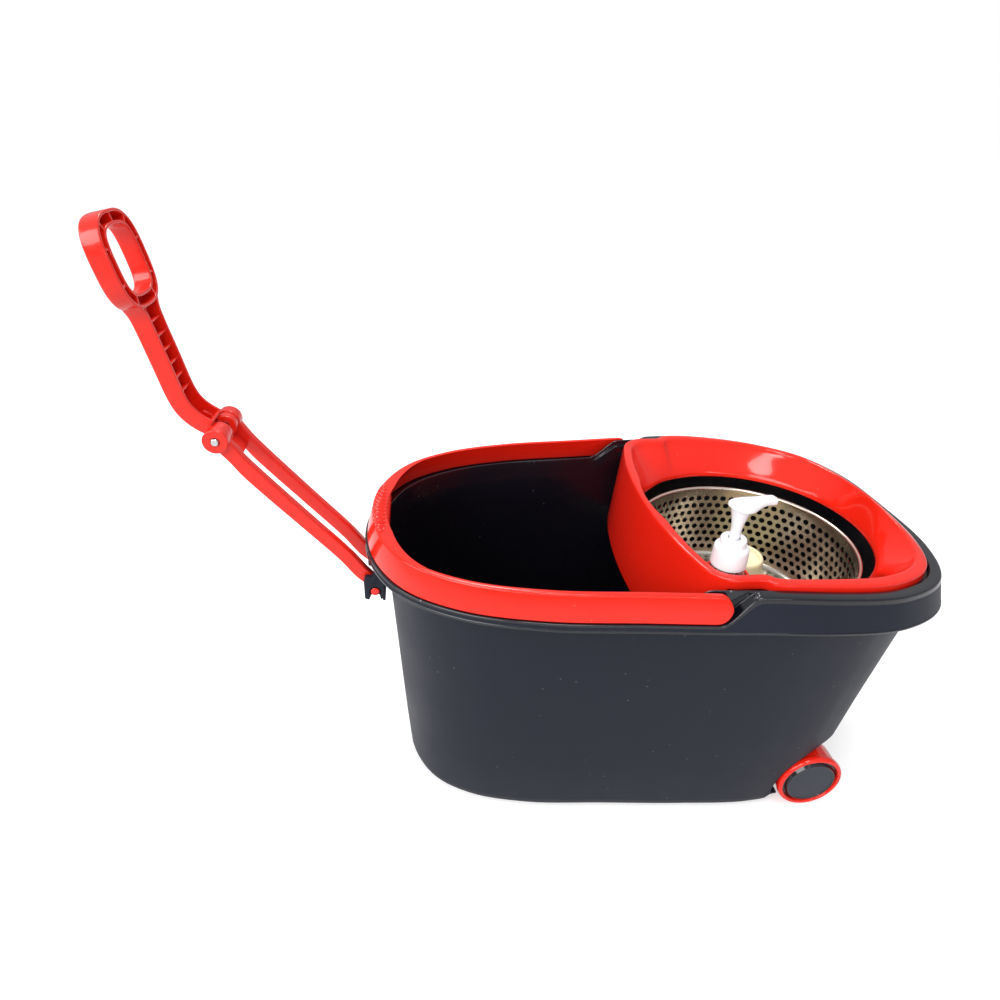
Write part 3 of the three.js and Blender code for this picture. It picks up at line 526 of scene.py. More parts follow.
def metal(name, colour, roughness, centre=(0, 0, 0), turn=(0, 0, 0), across=900.0, relief=0.002,
          painted_reflection_tint=(0, 0, 0)):
    """A turned or polished metal whose lines run round the axis through centre (mm), turned to +Z."""
    material, tree, shader, place = new_material(name)
    mapping = node(tree, "ShaderNodeMapping", {"Vector": place}, vector_type="TEXTURE")
    mapping.inputs["Location"].default_value = [c * MM for c in centre]
    mapping.inputs["Rotation"].default_value = turn
    lines = node(tree, "ShaderNodeGroup", {"Vector": mapping.outputs[0]}, node_tree=TURNING)
    lines.inputs["Across"].default_value = across
    grain = node(tree, "ShaderNodeGroup", {"Vector": place}, node_tree=GRAIN)
    grain.inputs["Broad Scale"].default_value = 34.0
    # Broad noise mixes a yellowish tint into the base colour: painted reflection of the room.
    blend = node(tree, "ShaderNodeMixRGB", {"Fac": grain.outputs["Broad"]}, Color1=(*colour, 1.0),
                 Color2=(*[c + w for c, w in zip(colour, painted_reflection_tint)], 1.0))
    tree.links.new(blend.outputs[0], shader.inputs["Base Color"])
    rough = maths(tree, "MULTIPLY", maths(tree, "ADD", lines.outputs[0], 0.5), roughness)
    drift = maths(tree, "MULTIPLY", grain.outputs["Broad"], roughness * 0.5)
    rough = maths(tree, "ADD", rough, drift, clamp=True)
    tree.links.new(rough, shader.inputs["Roughness"])
    height = maths(tree, "MULTIPLY", lines.outputs[0], relief)
    bump_node = node(tree, "ShaderNodeBump", {"Height": height}, Distance=MM, Strength=1.0)
    tree.links.new(bump_node.outputs[0], shader.inputs["Normal"])
    shader.inputs["Metallic"].default_value = 1.0
    return material


def clear_plastic(name, tint, roughness):
    """Blown clear plastic: plain transmission, with a faint ripple."""
    material, tree, shader, place = new_material(name)
    grain = node(tree, "ShaderNodeGroup", {"Vector": place}, node_tree=GRAIN)
    grain.inputs["Broad Scale"].default_value = 60.0
    rough = maths(tree, "MULTIPLY", grain.outputs["Broad"], roughness * 2)
    tree.links.new(rough, shader.inputs["Roughness"])
    height = maths(tree, "MULTIPLY", grain.outputs["Broad"], 0.25)
    relief = node(tree, "ShaderNodeBump", {"Height": height}, Distance=MM, Strength=0.6)
    tree.links.new(relief.outputs[0], shader.inputs["Normal"])
    shader.inputs["Base Color"].default_value = (*tint, 1.0)
    shader.inputs["Transmission Weight"].default_value = 1.0
    shader.inputs["IOR"].default_value = 1.45
    return material


BASKET_AXIS = centre_of("basket_drum") * [1, 1, 0]
AXLE_AXIS = centre_of("wheel_axle")
HINGE_AXIS = centre_of("hinge_pin")
ACROSS = (math.pi / 2, 0, 0)
# The basket's yellowish patches are painted reflection.
basket_steel = metal("basket_steel", (0.60, 0.57, 0.52), 0.17, BASKET_AXIS, relief=0.003,
                     painted_reflection_tint=(0.12, 0.09, 0.02))
axle_steel = metal("axle_steel", (0.56, 0.57, 0.58), 0.24, AXLE_AXIS, ACROSS, across=1600.0)
pin_steel = metal("pin_steel", (0.70, 0.71, 0.72), 0.16, HINGE_AXIS, ACROSS, across=1600.0)
spindle_steel = metal("spindle_steel", (0.60, 0.61, 0.62), 0.20, BASKET_AXIS, across=1600.0)
rivet_steel = metal("rivet_steel", (0.58, 0.59, 0.60), 0.28, across=1200.0)
spring_steel = metal("spring_steel", (0.55, 0.55, 0.56), 0.22, across=1500.0)
bush_brass = metal("bush_brass", (0.70, 0.50, 0.22), 0.22, BASKET_AXIS, across=1600.0)
bottle_clear = clear_plastic("bottle_clear", (0.97, 0.98, 0.98), 0.05)

# %% [markdown]
# ## The tub
# The tub is one blow: a wall that follows a boat-shaped outline, a rim, and a flared skirt. Its
# section is the same ring of corners at every station of the outline, but the corners move. Under
# the bail the rim is low, a ledge with a small lip; towards the tail the inner lip rises first and
# the skirt a little later, which leaves the pocket that the bail's end lies in.

# %% The rim's outline and heights
RIM_Z, TAIL_DROP = 263.5, 12.0
DROP_FROM = 120                     # the wall below this height is not drawn down at the tail
RIM_STATIONS, BAIL_STATIONS = 480, 2400
SKIRT_Z, LEDGE_Z, LIP_Z = 235.0, 242.0, 246.0
BASE_ROUND = 13.0
WALL, WALL_INSET = 2.5, 8.0
NOSE_TAPER, SIDE_TAPER, TAIL_TAPER = 0.065, 0.072, 0.18
# A recessed panel in the nose, behind the bracket.
PANEL_HALF, PANEL_DEPTH, PANEL_TOP = 31.0, 1.8, 228
RIM_HALF = [(-257, 0), (-249, 46), (-226, 84), (-186, 110), (-130, 125), (-60, 132), (10, 138.5),
            (80, 142), (140, 133.5), (184, 109), (204, 66), (208.5, 0)]


def tail_drop(x):
    """How far the rim line has sunk at x."""
    return TAIL_DROP * smooth((x - 30) / 170)


def rim_ring(outline, inset, z):
    """The outline moved inwards by inset and set at height z, sunk with the tail's rim line."""
    x, y, nx, ny = outline
    share = np.clip((z - DROP_FROM) / (RIM_Z - DROP_FROM), 0, None)
    return np.stack([x - nx * inset, y - ny * inset, z - share * tail_drop(x)], -1)


def wall_ring(outline, z, extra):
    """The wall's outline at height z: its slope is greatest at the tail and least at the nose."""
    x, y, nx, ny = outline
    panel = PANEL_DEPTH * smooth((PANEL_HALF + 3 - np.abs(y)) / 3) * (x < -180) * smooth((PANEL_TOP - z) / 5)
    along_x = WALL_INSET + np.where(nx > 0, TAIL_TAPER, NOSE_TAPER) * (SKIRT_Z - z) + extra + panel
    along_y = WALL_INSET + SIDE_TAPER * (SKIRT_Z - z) + extra
    share = max(0.0, (z - DROP_FROM) / (RIM_Z - DROP_FROM))
    return np.stack([x - nx * along_x, y - ny * along_y, z - share * tail_drop(x)], -1)


# %% The tub's section, carried round
def make_tub():
    """Rings of the section's corners, rounded; the arch, lugs, post and holes come after, in finish_tub."""
    rim = mirrored(RIM_HALF, RIM_STATIONS)
    lip_up = smooth((rim[0] + 42) / 30)
    skirt_up = smooth((rim[0] + 8) / 30)
    floor_up = smooth((rim[0] + 6) / 28)

    def band(low, high, share):
        """A corner that moves from (inset, height) low to (inset, height) high as the share grows."""
        return rim_ring(rim, mix(low[0], high[0], share), mix(low[1], high[1], share))

    # The inside slot takes the darker black, which is painted shade inside the tub.
    satin, gloss, inside = 0, 1, 2
    corners = [
        (wall_ring(rim, 0, 22), 0, satin), (wall_ring(rim, 0, 1), BASE_ROUND, satin),
        *[(wall_ring(rim, z, 0), 0, satin) for z in (60, 120, 180, 222, 229)],
        (wall_ring(rim, 234, 0), 2, satin),
        (band((6.5, 239.3), (6, 258.2), skirt_up), 2, satin),
        (band((-4.4, 238.6), (0.6, 258.6), skirt_up), 2, satin),
        (band((-5.3, SKIRT_Z), (-5.3, SKIRT_Z), skirt_up), 0.7, satin),
        (band((-7.5, SKIRT_Z), (-7.5, SKIRT_Z), skirt_up), 1.0, gloss),
        (band((-7.4, 236.9), (-7.4, 236.9), skirt_up), 0.5, gloss),
        (band((-6.7, 237.5), (-6.9, 237.5), skirt_up), 0.5, satin),
        (band((-6.5, 239.6), (-1.3, 257.6), skirt_up), 0.5, satin),
        (band((-7.3, 240.5), (-0.9, 258.6), skirt_up), 0.7, gloss),
        (band((-6.7, 242.2), (-0.3, 263.0), skirt_up), 3.4, gloss),
        (band((-4.4, LEDGE_Z), (2.4, RIM_Z), skirt_up), 2.5, gloss),
        (band((0, LEDGE_Z), (4.4, RIM_Z), 0.5 * (skirt_up + floor_up)), 0, gloss),
        (band((6.3, LEDGE_Z), (6.3, RIM_Z), floor_up), 0.8, gloss),
        (band((6.5, LIP_Z - 0.4), (6.8, RIM_Z), lip_up), 0.9, gloss),
        (band((8.1, LIP_Z), (8.4, RIM_Z), lip_up), 1.0, gloss),
        (band((8.6, LIP_Z - 2.5), (8.6, 258.8), lip_up), 0.8, inside),
        (band((9.2, LIP_Z - 6), (12, 258.8), lip_up), 0.8, inside),
        (band((10.4, 232), (13.5, 244), lip_up), 2, inside),
        (wall_ring(rim, 226, WALL + 0.2), 0, inside), (wall_ring(rim, 220, WALL), 0, inside),
        (wall_ring(rim, 120, WALL), 0, inside), (wall_ring(rim, 2.6, WALL + 0.6), 13, inside),
        (wall_ring(rim, 2.6, WALL + 24), 0, inside),
    ]
    steps = 4
    rings = rounded([c[0] for c in corners], [c[1] for c in corners], steps, closed=False)
    shade = np.repeat([c[2] for c in corners], steps + 1)[:-1]
    middle = [rings[k].mean(0) * np.ones_like(rings[k]) for k in (0, -1)]
    rings = np.concatenate([[middle[0]], rings, [middle[1]]])
    body = shell(rings, caps=False, material=np.concatenate([[satin], shade, [inside]]))
    return make_piece("tub_body", [body], [black_satin, black_gloss, black_inside_painted_shade])


tub = make_tub()

# %% [markdown]
# Wheels need room under the tail, so the mould lifts the base there in an arch. The arch is cut
# through the shell, and a curved sheet closes the cut. Two lugs hang from it for the axle, and a
# post stands on the floor for the basket.

# %% Arch, lugs, post and pivot holes
ARCH = {"x": 150.0, "z": 22.0, "r": 52.3}
AXLE = {"x": AXLE_AXIS[0], "z": AXLE_AXIS[2], "r": 4.0}
LUG_INNER, LUG_THICK = 84.0, 9.0
BAIL_PIVOT = {"x": -10.0, "z": 253.0}
PIVOT_R = 4.3
SIDES = ((-1, "near"), (1, "far"))
RIVET_Y, RIVET_Z = 8.0, 224.0


def finish_tub(tub):
    """Arch, lugs, spindle post, pivot recesses and rivet holes, in the order the mould forms them."""
    rim = mirrored(RIM_HALF, RIM_STATIONS)
    # The wall's inside, which stays within the rounded edge of the base.
    low = (0.5, 2.0, 5.0, 9.0, BASE_ROUND)
    sunk = [(z, BASE_ROUND - math.sqrt(max(0.0, z * (2 * BASE_ROUND - z)))) for z in low]
    levels = np.stack([wall_ring(rim, z, 0.6 + inset) for z, inset in (*sunk, (60, 0), (112, 0))])
    sheet = tool_of(shell(levels))
    arch_place = [ARCH["x"], 0, ARCH["z"]]
    sheet = combined(sheet, tool_of(rod(ARCH["r"] + WALL, -165, 165, arch_place, "y", 160)), "INTERSECT")
    combined(tub, sheet, "UNION")
    cut(tub, rod(ARCH["r"], -170, 170, arch_place, "y", 160))
    # The arch's front foot flares forwards, so that the base ends in a plain corner.
    foot = np.array([(0.8 - ARCH["r"], 13.5), (-60, -2), (-44, -2), (-44, 13.5)]) + [ARCH["x"], 0]
    wedge = tool_of(prism(foot + [[-WALL, 2], [-WALL, 0], [-1.5, 0], [-1.5, 2]], -165, 165, "y"))
    wedge = combined(wedge, tool_of(shell(levels)), "INTERSECT")
    combined(tub, wedge, "UNION")
    cut(tub, prism(foot, -170, 170, "y"))
    hanger = [(-15, 74), (-9, 30), (-6, 22.5), (6, 22.5), (9, 30), (15, 72)]
    for low in (LUG_INNER, -LUG_INNER - LUG_THICK):
        outline = [(AXLE["x"] + dx, z) for dx, z in hanger]
        join(tub, prism(outline, low, low + LUG_THICK, "y", 0.8))
        bore = rod(AXLE["r"] + 0.3, low - 1, low + LUG_THICK + 1, [AXLE["x"], 0, AXLE["z"]], "y")
        cut(tub, bore)
    post = [(0, 1, 0), (17, 1, 0), (17, 6, 3), (12, 14, 4), (10.5, 60, 0), (9, 134, 1), (0, 134, 0)]
    join(tub, turned(post, BASKET_AXIS))
    cut(tub, rod(4.25, 106, 140, BASKET_AXIS))
    for side in (-1, 1):
        y = sorted((side * 120, side * 134.5))
        pivot = rod(PIVOT_R, y[0], y[1], [BAIL_PIVOT["x"], 0, BAIL_PIVOT["z"]], "y", 32)
        cut(tub, pivot)
        hole = rod(2.3, -256, -236, [0, side * RIVET_Y, RIVET_Z], "x", 24)
        cut(tub, hole)
    finish_shading(tub.data, 35)
    return tub


finish_tub(tub)
hand_over(tub, "bucket", "black_plastic", "tub")

# %% [markdown]
# ## The splash cover
# One red moulding drops into the tail half of the rim: a rounded ridge round its edge, a dish that
# slopes to the round opening over the basket, and an apron that closes the front. Every section
# runs straight from the edge to the opening, so the whole sheet is a profile of (distance from the
# edge, height) whose far part is stretched to reach the circle.

# %% Cover outline and surface
COVER_HALF = [(-35, 0), (-32, 50), (-24, 94), (-16, 114), (0, 123.5), (29, 125.5), (36, 130.4),
              (80, 132.4), (136, 124.4), (176.5, 101), (194, 62), (198.5, 0)]
OPENING_R, OPENING_Z = 106.5, 234.0
RIDGE_Z, RIDGE_WIDTH, COVER_SHEET, APRON_Z, FOOT_Z = 268.0, 9.5, 2.2, 186.0, 259.2
FRONT_BACK, FRONT_LEAN = 4.5, 4.5
BOTTLE = centre_of("bottle") * [1, 1, 0]


def make_cover():
    """Outer face from foot over the ridge to the opening's lip, and back underneath."""
    edge = mirrored(COVER_HALF, 640)
    x, y, nx, ny = edge
    front = smooth((-2 - x) / 8)
    away = np.hypot(x - BASKET_AXIS[0], y)
    gap = away - OPENING_R
    ux, uy = (x - BASKET_AXIS[0]) / away, y / away
    ridge = np.minimum(RIDGE_WIDTH, gap * 0.8)
    set_back = smooth((24 - x) / 50)

    def lean_back(z):
        """How far the front wall is set back towards the basket: more at the ridge than low down."""
        return set_back * (FRONT_BACK + FRONT_LEAN * np.clip((z - OPENING_Z) / (RIDGE_Z - OPENING_Z), 0, 1))

    def ring(along, z):
        """A point `along` mm from the edge towards the basket's axis; the rim drop fades to the opening."""
        along = np.broadcast_to(along, x.shape)
        left = 1 - np.clip(along / gap, 0, 1)
        return np.stack([x - ux * along + lean_back(z), y - uy * along, z - tail_drop(x) * left], -1)

    def foot(inset):
        """The lower edge: just over the rebate at the sides, far down and leaning out at the front."""
        z = mix(FOOT_Z, APRON_Z, front) - tail_drop(x)
        return np.stack([x - nx * (inset - 3 * front) + lean_back(z), y - ny * (inset - 0.6 * front), z], -1)

    def dish(share, z_top, z_low, shift=0.0):
        """A share of the way from the ridge's inner edge to the opening."""
        along = mix(ridge, gap + shift, share)
        return ring(along, mix(z_top, z_low, share))

    t = COVER_SHEET
    corners = [
        (foot(0), 0.7), (ring(0, 262.5), 0), (ring(0.4, 267.6), 1.6), (ring(ridge * 0.5, RIDGE_Z), 3),
        (ring(ridge * 0.95, 267.2), 2.6), (dish(0.10, 265, OPENING_Z + 2), 3),
        (dish(0.35, 265, OPENING_Z + 2), 0), (dish(0.65, 265, OPENING_Z + 2), 0),
        (dish(0.93, 265, OPENING_Z + 1.5), 3), (ring(gap, OPENING_Z + 0.3), 0.9),
        (ring(gap - 0.1, OPENING_Z - 3.2), 0.9), (ring(gap - t, OPENING_Z - 3), 0.7),
        (dish(0.86, 262, OPENING_Z - 1.5), 3), (dish(0.45, 262, OPENING_Z - 1), 0),
        (ring(ridge * 0.9, 264.6), 3), (ring(t + 0.6, 265.2), 1.2), (ring(t, 261.5), 0), (foot(t), 0.7),
    ]
    rings = rounded([c[0] for c in corners], [c[1] for c in corners], 5)
    cover = make_piece("splash_cover_body", [shell(rings, close_rows=True)], [red_gloss])
    cup = rod(18, 170, 257, BOTTLE, segments=96)
    join(cover, cup)
    cut(cover, rod(16.1, 172, 300, BOTTLE, segments=96))
    cut(cover, rod(3, 168, 174, BOTTLE, segments=32))
    finish_shading(cover.data, 40)
    return cover


hand_over(make_cover(), "bucket", "red_plastic", "splash_cover")

# %% [markdown]
# ## The carry bail
# A flat red band follows the rim from one pivot round the nose to the other and ends in round tips.
# Its section is carried along the rim's outline. Beside the grip the band is thicker inside: a
# slanting facet starts at its lower edge and runs out at its top edge further back.

# %% Bail band
BAIL_HALF, BAIL_THICK, FACET_LENGTH, GRIP_HALF = 10.6, 4.4, 62.0, 42.0
LEAN = 6 / 21.5                     # the outer face slopes out by this much for each mm downwards


def bail_stations(turns=16, spacing=2.2):
    """From the near tip round the nose to the far tip: x, y, normal, half height, arc from the nose."""
    x, y, nx, ny = mirrored(RIM_HALF, BAIL_STATIONS)
    near = (y <= 0) & (x < 60)
    order = np.argsort(x[near])
    x, y, nx, ny = (v[near][order] for v in (x, y, nx, ny))
    arc = np.concatenate([[0], np.cumsum(np.hypot(np.diff(x), np.diff(y)))])
    pivot_arc = np.interp(BAIL_PIVOT["x"], x, arc)
    turn = np.linspace(0, np.radians(88), turns)[1:]
    s = np.concatenate([np.arange(0, pivot_arc, spacing), pivot_arc + BAIL_HALF * np.sin(turn)])
    half = np.concatenate([np.full(len(s) - turns + 1, BAIL_HALF), BAIL_HALF * np.cos(turn)])
    half_side = np.stack([np.interp(s, arc, v) for v in (x, y, nx, ny)] + [half, -s])
    far_side = half_side * np.array([1, -1, 1, -1, 1, -1])[:, None]
    return np.concatenate([half_side[:, :0:-1], far_side], 1)


def make_bail():
    """The band's section carried along the rim, with the slanting facets beside the grip."""
    x, y, nx, ny, half, arc = bail_stations()
    top, bottom = BAIL_PIVOT["z"] + half, BAIL_PIVOT["z"] - half

    def at(inset, z):
        """The rim's line moved in by the inset at height z, leaning with the band's outer face."""
        inset = inset - LEAN * (RIM_Z - z)
        return np.stack([x - nx * inset, y - ny * inset, np.broadcast_to(z, x.shape)], -1)

    # The facet: its lower edge climbs from the bottom of the band to the top over FACET_LENGTH.
    climb = np.clip((np.abs(arc) - GRIP_HALF) / FACET_LENGTH, 0, 1)
    fold = mix(bottom + 3, top - 1.2, climb)
    extra = 0.42 * (top - fold) * (climb < 1)
    radius = np.minimum(1.5, half / 2)
    corners = [(at(BAIL_THICK, bottom), radius), (at(0.15, bottom), radius),
               (at(-0.25, BAIL_PIVOT["z"]), 0 * radius), (at(0.0, top), radius),
               (at(BAIL_THICK + LEAN * (RIM_Z - top) + extra, top), radius * 0.8),
               (at(BAIL_THICK, fold), radius * 0.1)]
    rings = rounded([c[0] for c in corners], np.stack([c[1] for c in corners]), 4)
    return make_piece("carry_bail_band", [shell(rings.transpose(1, 0, 2))], [red_gloss])


bail = make_bail()
for side in (-1, 1):
    low, high = sorted((side * 120, side * 137.6))
    recess = rod(PIVOT_R, low, high, [BAIL_PIVOT["x"], 0, BAIL_PIVOT["z"]], "y", 48)
    cut(bail, recess)
finish_shading(bail.data, 40)
hand_over(bail, "carry_bail", "red_plastic", "bail")

# %% [markdown]
# The hand holds the bail at the nose, where it widens to a lens with thirteen soft ribs. The lens is
# a grid: one direction runs along the rim, the other over its crown, and the ribs are a sine wave
# that fades out at the outer and inner edge.

# %% Bail grip
def make_grip():
    """The lens: its crown, its ribs and its flat underside as one grid."""
    ribs, across = 13, 22
    along = np.linspace(-1, 1, ribs * 16 + 1)
    x, y, nx, ny = mirrored(RIM_HALF, BAIL_STATIONS)
    nose = x < -200
    order = np.argsort(y[nose])
    y_at = along * GRIP_HALF
    x, nx, ny = (np.interp(y_at, y[nose][order], v[nose][order]) for v in (x, nx, ny))
    wide = mix(4.6, 14.5, np.sqrt(np.clip(1 - along**2, 0, 1)))[:, None]
    wave = np.abs(np.sin(np.pi * ribs * (along[:, None] + 1) / 2))
    u = np.linspace(0, 1, across)[None]
    crown = 1.3 * np.sin(np.pi * u)
    z_top = 263.4 + 1.5 * np.sqrt(np.clip(1 - along**2, 0, 1))[:, None] * (1 - u) + crown - 4.2 * u**2
    held = smooth(u / 0.14) * smooth((1 - u) / 0.1) * np.clip(1.2 - along[:, None] ** 4, 0, 1)
    z_top = z_top - 0.6 + 2.8 * wave * held
    inset = mix(-0.1, wide, u) + 0.25 * wave * (u > 0.9)
    under = np.stack([np.broadcast_to(mix(wide, 4.5, k), wide.shape) for k in (0.02, 0.5, 1.0)], 1)[..., 0]
    inset = np.concatenate([inset, under, np.full_like(wide, 0.9)], 1)
    lower = np.stack([np.full(len(along), z) for z in (257.5, 252.5, 247.5)], 1)
    z = np.concatenate([z_top, lower, np.full_like(wide, 258.0)], 1)
    grid = np.stack([x[:, None] - nx[:, None] * inset, y_at[:, None] - ny[:, None] * inset, z], -1)
    return make_piece("carry_bail_grip", [shell(grid)], [red_gloss], sharp=60)


hand_over(make_grip(), "carry_bail", "red_plastic", "bail_grip")


# %% [markdown]
# ## The spin basket
# The basket is one pressed steel sheet: a rolled rim, a plain band, a wall with rows of staggered
# round holes, and a flat floor. A hole and the square of sheet round it is one small ring of faces.
# The same ring is repeated by arithmetic over rows and columns, bent round the cone, and its two
# sides and the hole's edge together make a closed sheet.

# %% Perforated wall
HOLE_ROWS, HOLE_COLUMNS, HOLE_SHARE = 8, 70, 0.345
RIM_R = size_of("basket_drum")[0] / 2
RIM_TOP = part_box("basket_drum")[1][2] / MM
FLOOR_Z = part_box("basket_drum")[0][2] / MM
SHEET = 0.8
WALL_LOW, WALL_HIGH = (91.6, FLOOR_Z + 6.5), (96.0, RIM_TOP - 8.2)   # the holed wall's (radius, height)


def on_wall(u, v, depth):
    """The point at share u round the basket and v up the holed wall, depth mm outside its inner face."""
    radius = mix(WALL_LOW[0], WALL_HIGH[0], v) + depth
    z = mix(WALL_LOW[1], WALL_HIGH[1], v)
    angle = 2 * np.pi * u
    return np.stack([BASKET_AXIS[0] + radius * np.cos(angle), radius * np.sin(angle), z], -1)


def holed_wall():
    """Four rings a cell: its square and its circle on the inner face, then the same on the outer face."""
    side = np.arange(4) / 4
    one, nil = np.ones(4), np.zeros(4)
    square = [np.concatenate([side, one, 1 - side, nil]), np.concatenate([nil, side, one, 1 - side])]
    square = np.stack(square, -1)
    direction = square - 0.5
    ring = 0.5 + HOLE_SHARE * direction / np.linalg.norm(direction, axis=1)[:, None]
    row, column = np.divmod(np.arange(HOLE_ROWS * HOLE_COLUMNS), HOLE_COLUMNS)
    offset = np.stack([column + 0.5 * (row % 2), row], -1)[:, None, None]
    cell = np.stack([square, ring, ring, square])[None] + offset
    depth = np.broadcast_to(np.array([0, 0, SHEET, SHEET])[None, :, None], cell.shape[:3])
    points = on_wall(cell[..., 0] / HOLE_COLUMNS, cell[..., 1] / HOLE_ROWS, depth).reshape(-1, 3)
    corner = np.arange(16)
    quad = np.stack([corner, (corner + 1) % 16, (corner + 1) % 16 + 16, corner + 16], -1)
    one_cell = np.concatenate([quad, quad + 16, quad + 32])
    faces = (one_cell[None] + 64 * np.arange(len(cell))[:, None, None]).reshape(-1, 4)
    return points, faces.tolist(), np.zeros(len(faces))


def sheet_part(profile, radii):
    """An open profile of (radius, height) revolved in step with the holes' quarter cells."""
    section = rounded(np.asarray(profile, float), radii, 5, closed=False)
    angle = np.linspace(0, 2 * np.pi, 4 * HOLE_COLUMNS, endpoint=False)
    ring = np.stack([np.cos(angle), np.sin(angle)], -1)
    xy = BASKET_AXIS[:2] + section[:, None, :1] * ring[None]
    grid = np.concatenate([xy, np.broadcast_to(section[:, None, 1:], (*xy.shape[:2], 1))], -1)
    return shell(grid, caps=False)


def face_outwards(piece):
    """Turns all faces of a closed sheet outwards, once its parts are welded."""
    import bmesh
    bm = bmesh.new()
    bm.from_mesh(piece.data)
    bmesh.ops.recalc_face_normals(bm, faces=bm.faces)
    print(f"{piece.name}: volume {bm.calc_volume(signed=True) * 1e6:.1f} cm3, "
          f"open edges {sum(not e.is_manifold for e in bm.edges)}")
    bm.to_mesh(piece.data)
    bm.free()


def make_drum():
    """Rolled rim and band above the holed wall, stepped floor below it, welded into one sheet."""
    roll = 2.2
    turn = np.linspace(0, 1.55 * np.pi, 22)
    bead = np.stack([RIM_R - roll - roll * np.cos(turn), RIM_TOP - roll + roll * np.sin(turn)], -1)
    inner_high, outer_high = WALL_HIGH, (WALL_HIGH[0] + SHEET, WALL_HIGH[1])
    top = [inner_high, (96.3, RIM_TOP - 4.6), *bead, (RIM_R - roll, RIM_TOP - 4.0),
           (97.3, RIM_TOP - 5.6), outer_high]
    low_outer = (WALL_LOW[0] + SHEET, WALL_LOW[1])
    steps = [(90.9, 3.4), (85.5, SHEET), (70, SHEET), (68, 1.6), (36, 1.6), (34, SHEET), (9.5, SHEET),
             (9.5, 0), (34.4, 0), (36.4, 0.8), (67.6, 0.8), (69.6, 0), (86, 0), (91.8, 3)]
    floor = [WALL_LOW, *[(radius, FLOOR_Z + height) for radius, height in steps], low_outer]
    parts = [holed_wall(), sheet_part(top, [0, 1.5] + [0] * len(bead) + [0.4, 1.5, 0]),
             sheet_part(floor, [0, 3, 3, 1, 1, 1, 1, 0, 0, 1, 1, 1, 1, 3, 3, 0])]
    drum = make_piece("basket_drum_steel", parts, [basket_steel], sharp=40)
    face_outwards(drum)
    finish_shading(drum.data, 40)
    return drum


hand_over(make_drum(), "basket", "basket_steel", "basket_drum")

# %% [markdown]
# A nylon hub stands in the basket's middle. The mop's foot drops over it and drives it through the
# ribs round its neck; a clamp plate below, three screws and a brass bush hold it on the spindle.

# %% Hub, clamp plate, screws, bush, spindle and washer
HUB_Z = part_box("basket_hub")[0][2] / MM


def make_hub():
    """A turned flange, drum and neck; shallow flutes between the drive ribs run up the outside."""
    profile = [(7.2, 0, 0.4), (27, 0, 0.5), (27, 2.8, 0.9), (25.2, 4.6, 1), (25.0, 43.5, 1.2),
               (22.0, 47.4, 1.2),
               (21.3, 58.2, 1.2), (19.9, 60, 0.8), (18.4, 58.8, 0.6), (17.8, 55.6, 0.8),
               (9.2, 55.0, 0.6), (7.2, 53.5, 0.4)]
    points, faces, shade = turned(profile, BASKET_AXIS + [0, 0, HUB_Z], segments=240)
    local = points[:, :2] - BASKET_AXIS[:2]
    radius, angle = np.linalg.norm(local, axis=1), np.arctan2(local[:, 1], local[:, 0])
    height = points[:, 2] - HUB_Z
    body = smooth((height - 6) / 4) * smooth((42 - height) / 3) * (radius > 23.5)
    neck = smooth((height - 48.5) / 2) * smooth((57.5 - height) / 2) * (radius > 20.3)
    wave = -0.6 + 0.6 * np.tanh(3 * np.cos(12 * angle))
    swell = 1 + wave * (body + 0.8 * neck) / np.maximum(radius, 1)
    points[:, :2] = BASKET_AXIS[:2] + local * swell[:, None]
    return make_piece("basket_hub_nylon", [(points, faces, shade)], [ivory_nylon])


def make_screw(k):
    """A pan-head screw from below, with a cross recess in its head."""
    low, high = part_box(f"hub_screw_{k}")
    x, y = ((low + high) / 2 / MM)[:2]
    z0, z1, head = low[2] / MM, high[2] / MM, 3.4
    profile = [(0, z0, 0), (2.4, z0, 0.6), (head, z0 + 1.2, 0.6), (head, z0 + 2.5, 0.3), (1.5, z0 + 2.5, 0.2),
               (1.5, z1 - 0.8, 0.2), (0.5, z1, 0.2), (0, z1, 0)]
    screw = make_piece(f"hub_screw_{k}_pan", [turned(profile, [x, y, 0], segments=40)], [rivet_steel])
    for turn in (0.0, math.pi / 2):
        arm = np.array([(-2.0, -0.35), (2.0, -0.35), (2.0, 0.35), (-2.0, 0.35)])
        c, s = math.cos(turn + k), math.sin(turn + k)
        arm = arm @ np.array([[c, s], [-s, c]]) + [x, y]
        cut(screw, prism(arm, z0 - 1, z0 + 1.3, "z"))
    finish_shading(screw.data, 40)
    return screw


hand_over(make_hub(), "basket", "ivory_plastic", "basket_hub")
for k in (1, 2, 3):
    hand_over(make_screw(k), "basket", "hardware_steel", f"hub_screw_{k}")
plate_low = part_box("hub_clamp_plate")[0][2] / MM
plate_profile = [(7.3, 0, 0.3), (29.5, 0, 1), (31, 1.5, 0.6), (30, 3, 0.4), (7.3, 3, 0.3)]
turned_part("hub_clamp_disc", plate_profile, BASKET_AXIS + [0, 0, plate_low], black_satin,
            "basket", "black_plastic", "hub_clamp_plate")
bush_profile = [(4.2, 135.2, 0.3), (9, 135.2, 0.4), (9, 138.6, 0.4), (6.9, 138.6, 0.2), (6.9, 157, 0.4),
                (4.2, 157, 0.3)]
turned_part("spindle_bush_brass", bush_profile, BASKET_AXIS, bush_brass,
            "basket", "brass", "spindle_bush")
washer_profile = [(4.3, 134.2, 0.15), (8.6, 134.2, 0.15), (8.6, 135, 0.15), (4.3, 135, 0.15)]
turned_part("spindle_washer_steel", washer_profile, BASKET_AXIS, spindle_steel,
            "bucket", "hardware_steel", "spindle_washer")
spindle_profile = [(0, 106.4, 0), (3.4, 106.4, 0.2), (4, 107.2, 0.2), (4, 158, 0.8), (2.6, 160, 0.4),
                   (0, 160, 0)]
turned_part("spindle_bar", spindle_profile, BASKET_AXIS, spindle_steel,
            "bucket", "hardware_steel", "spindle")

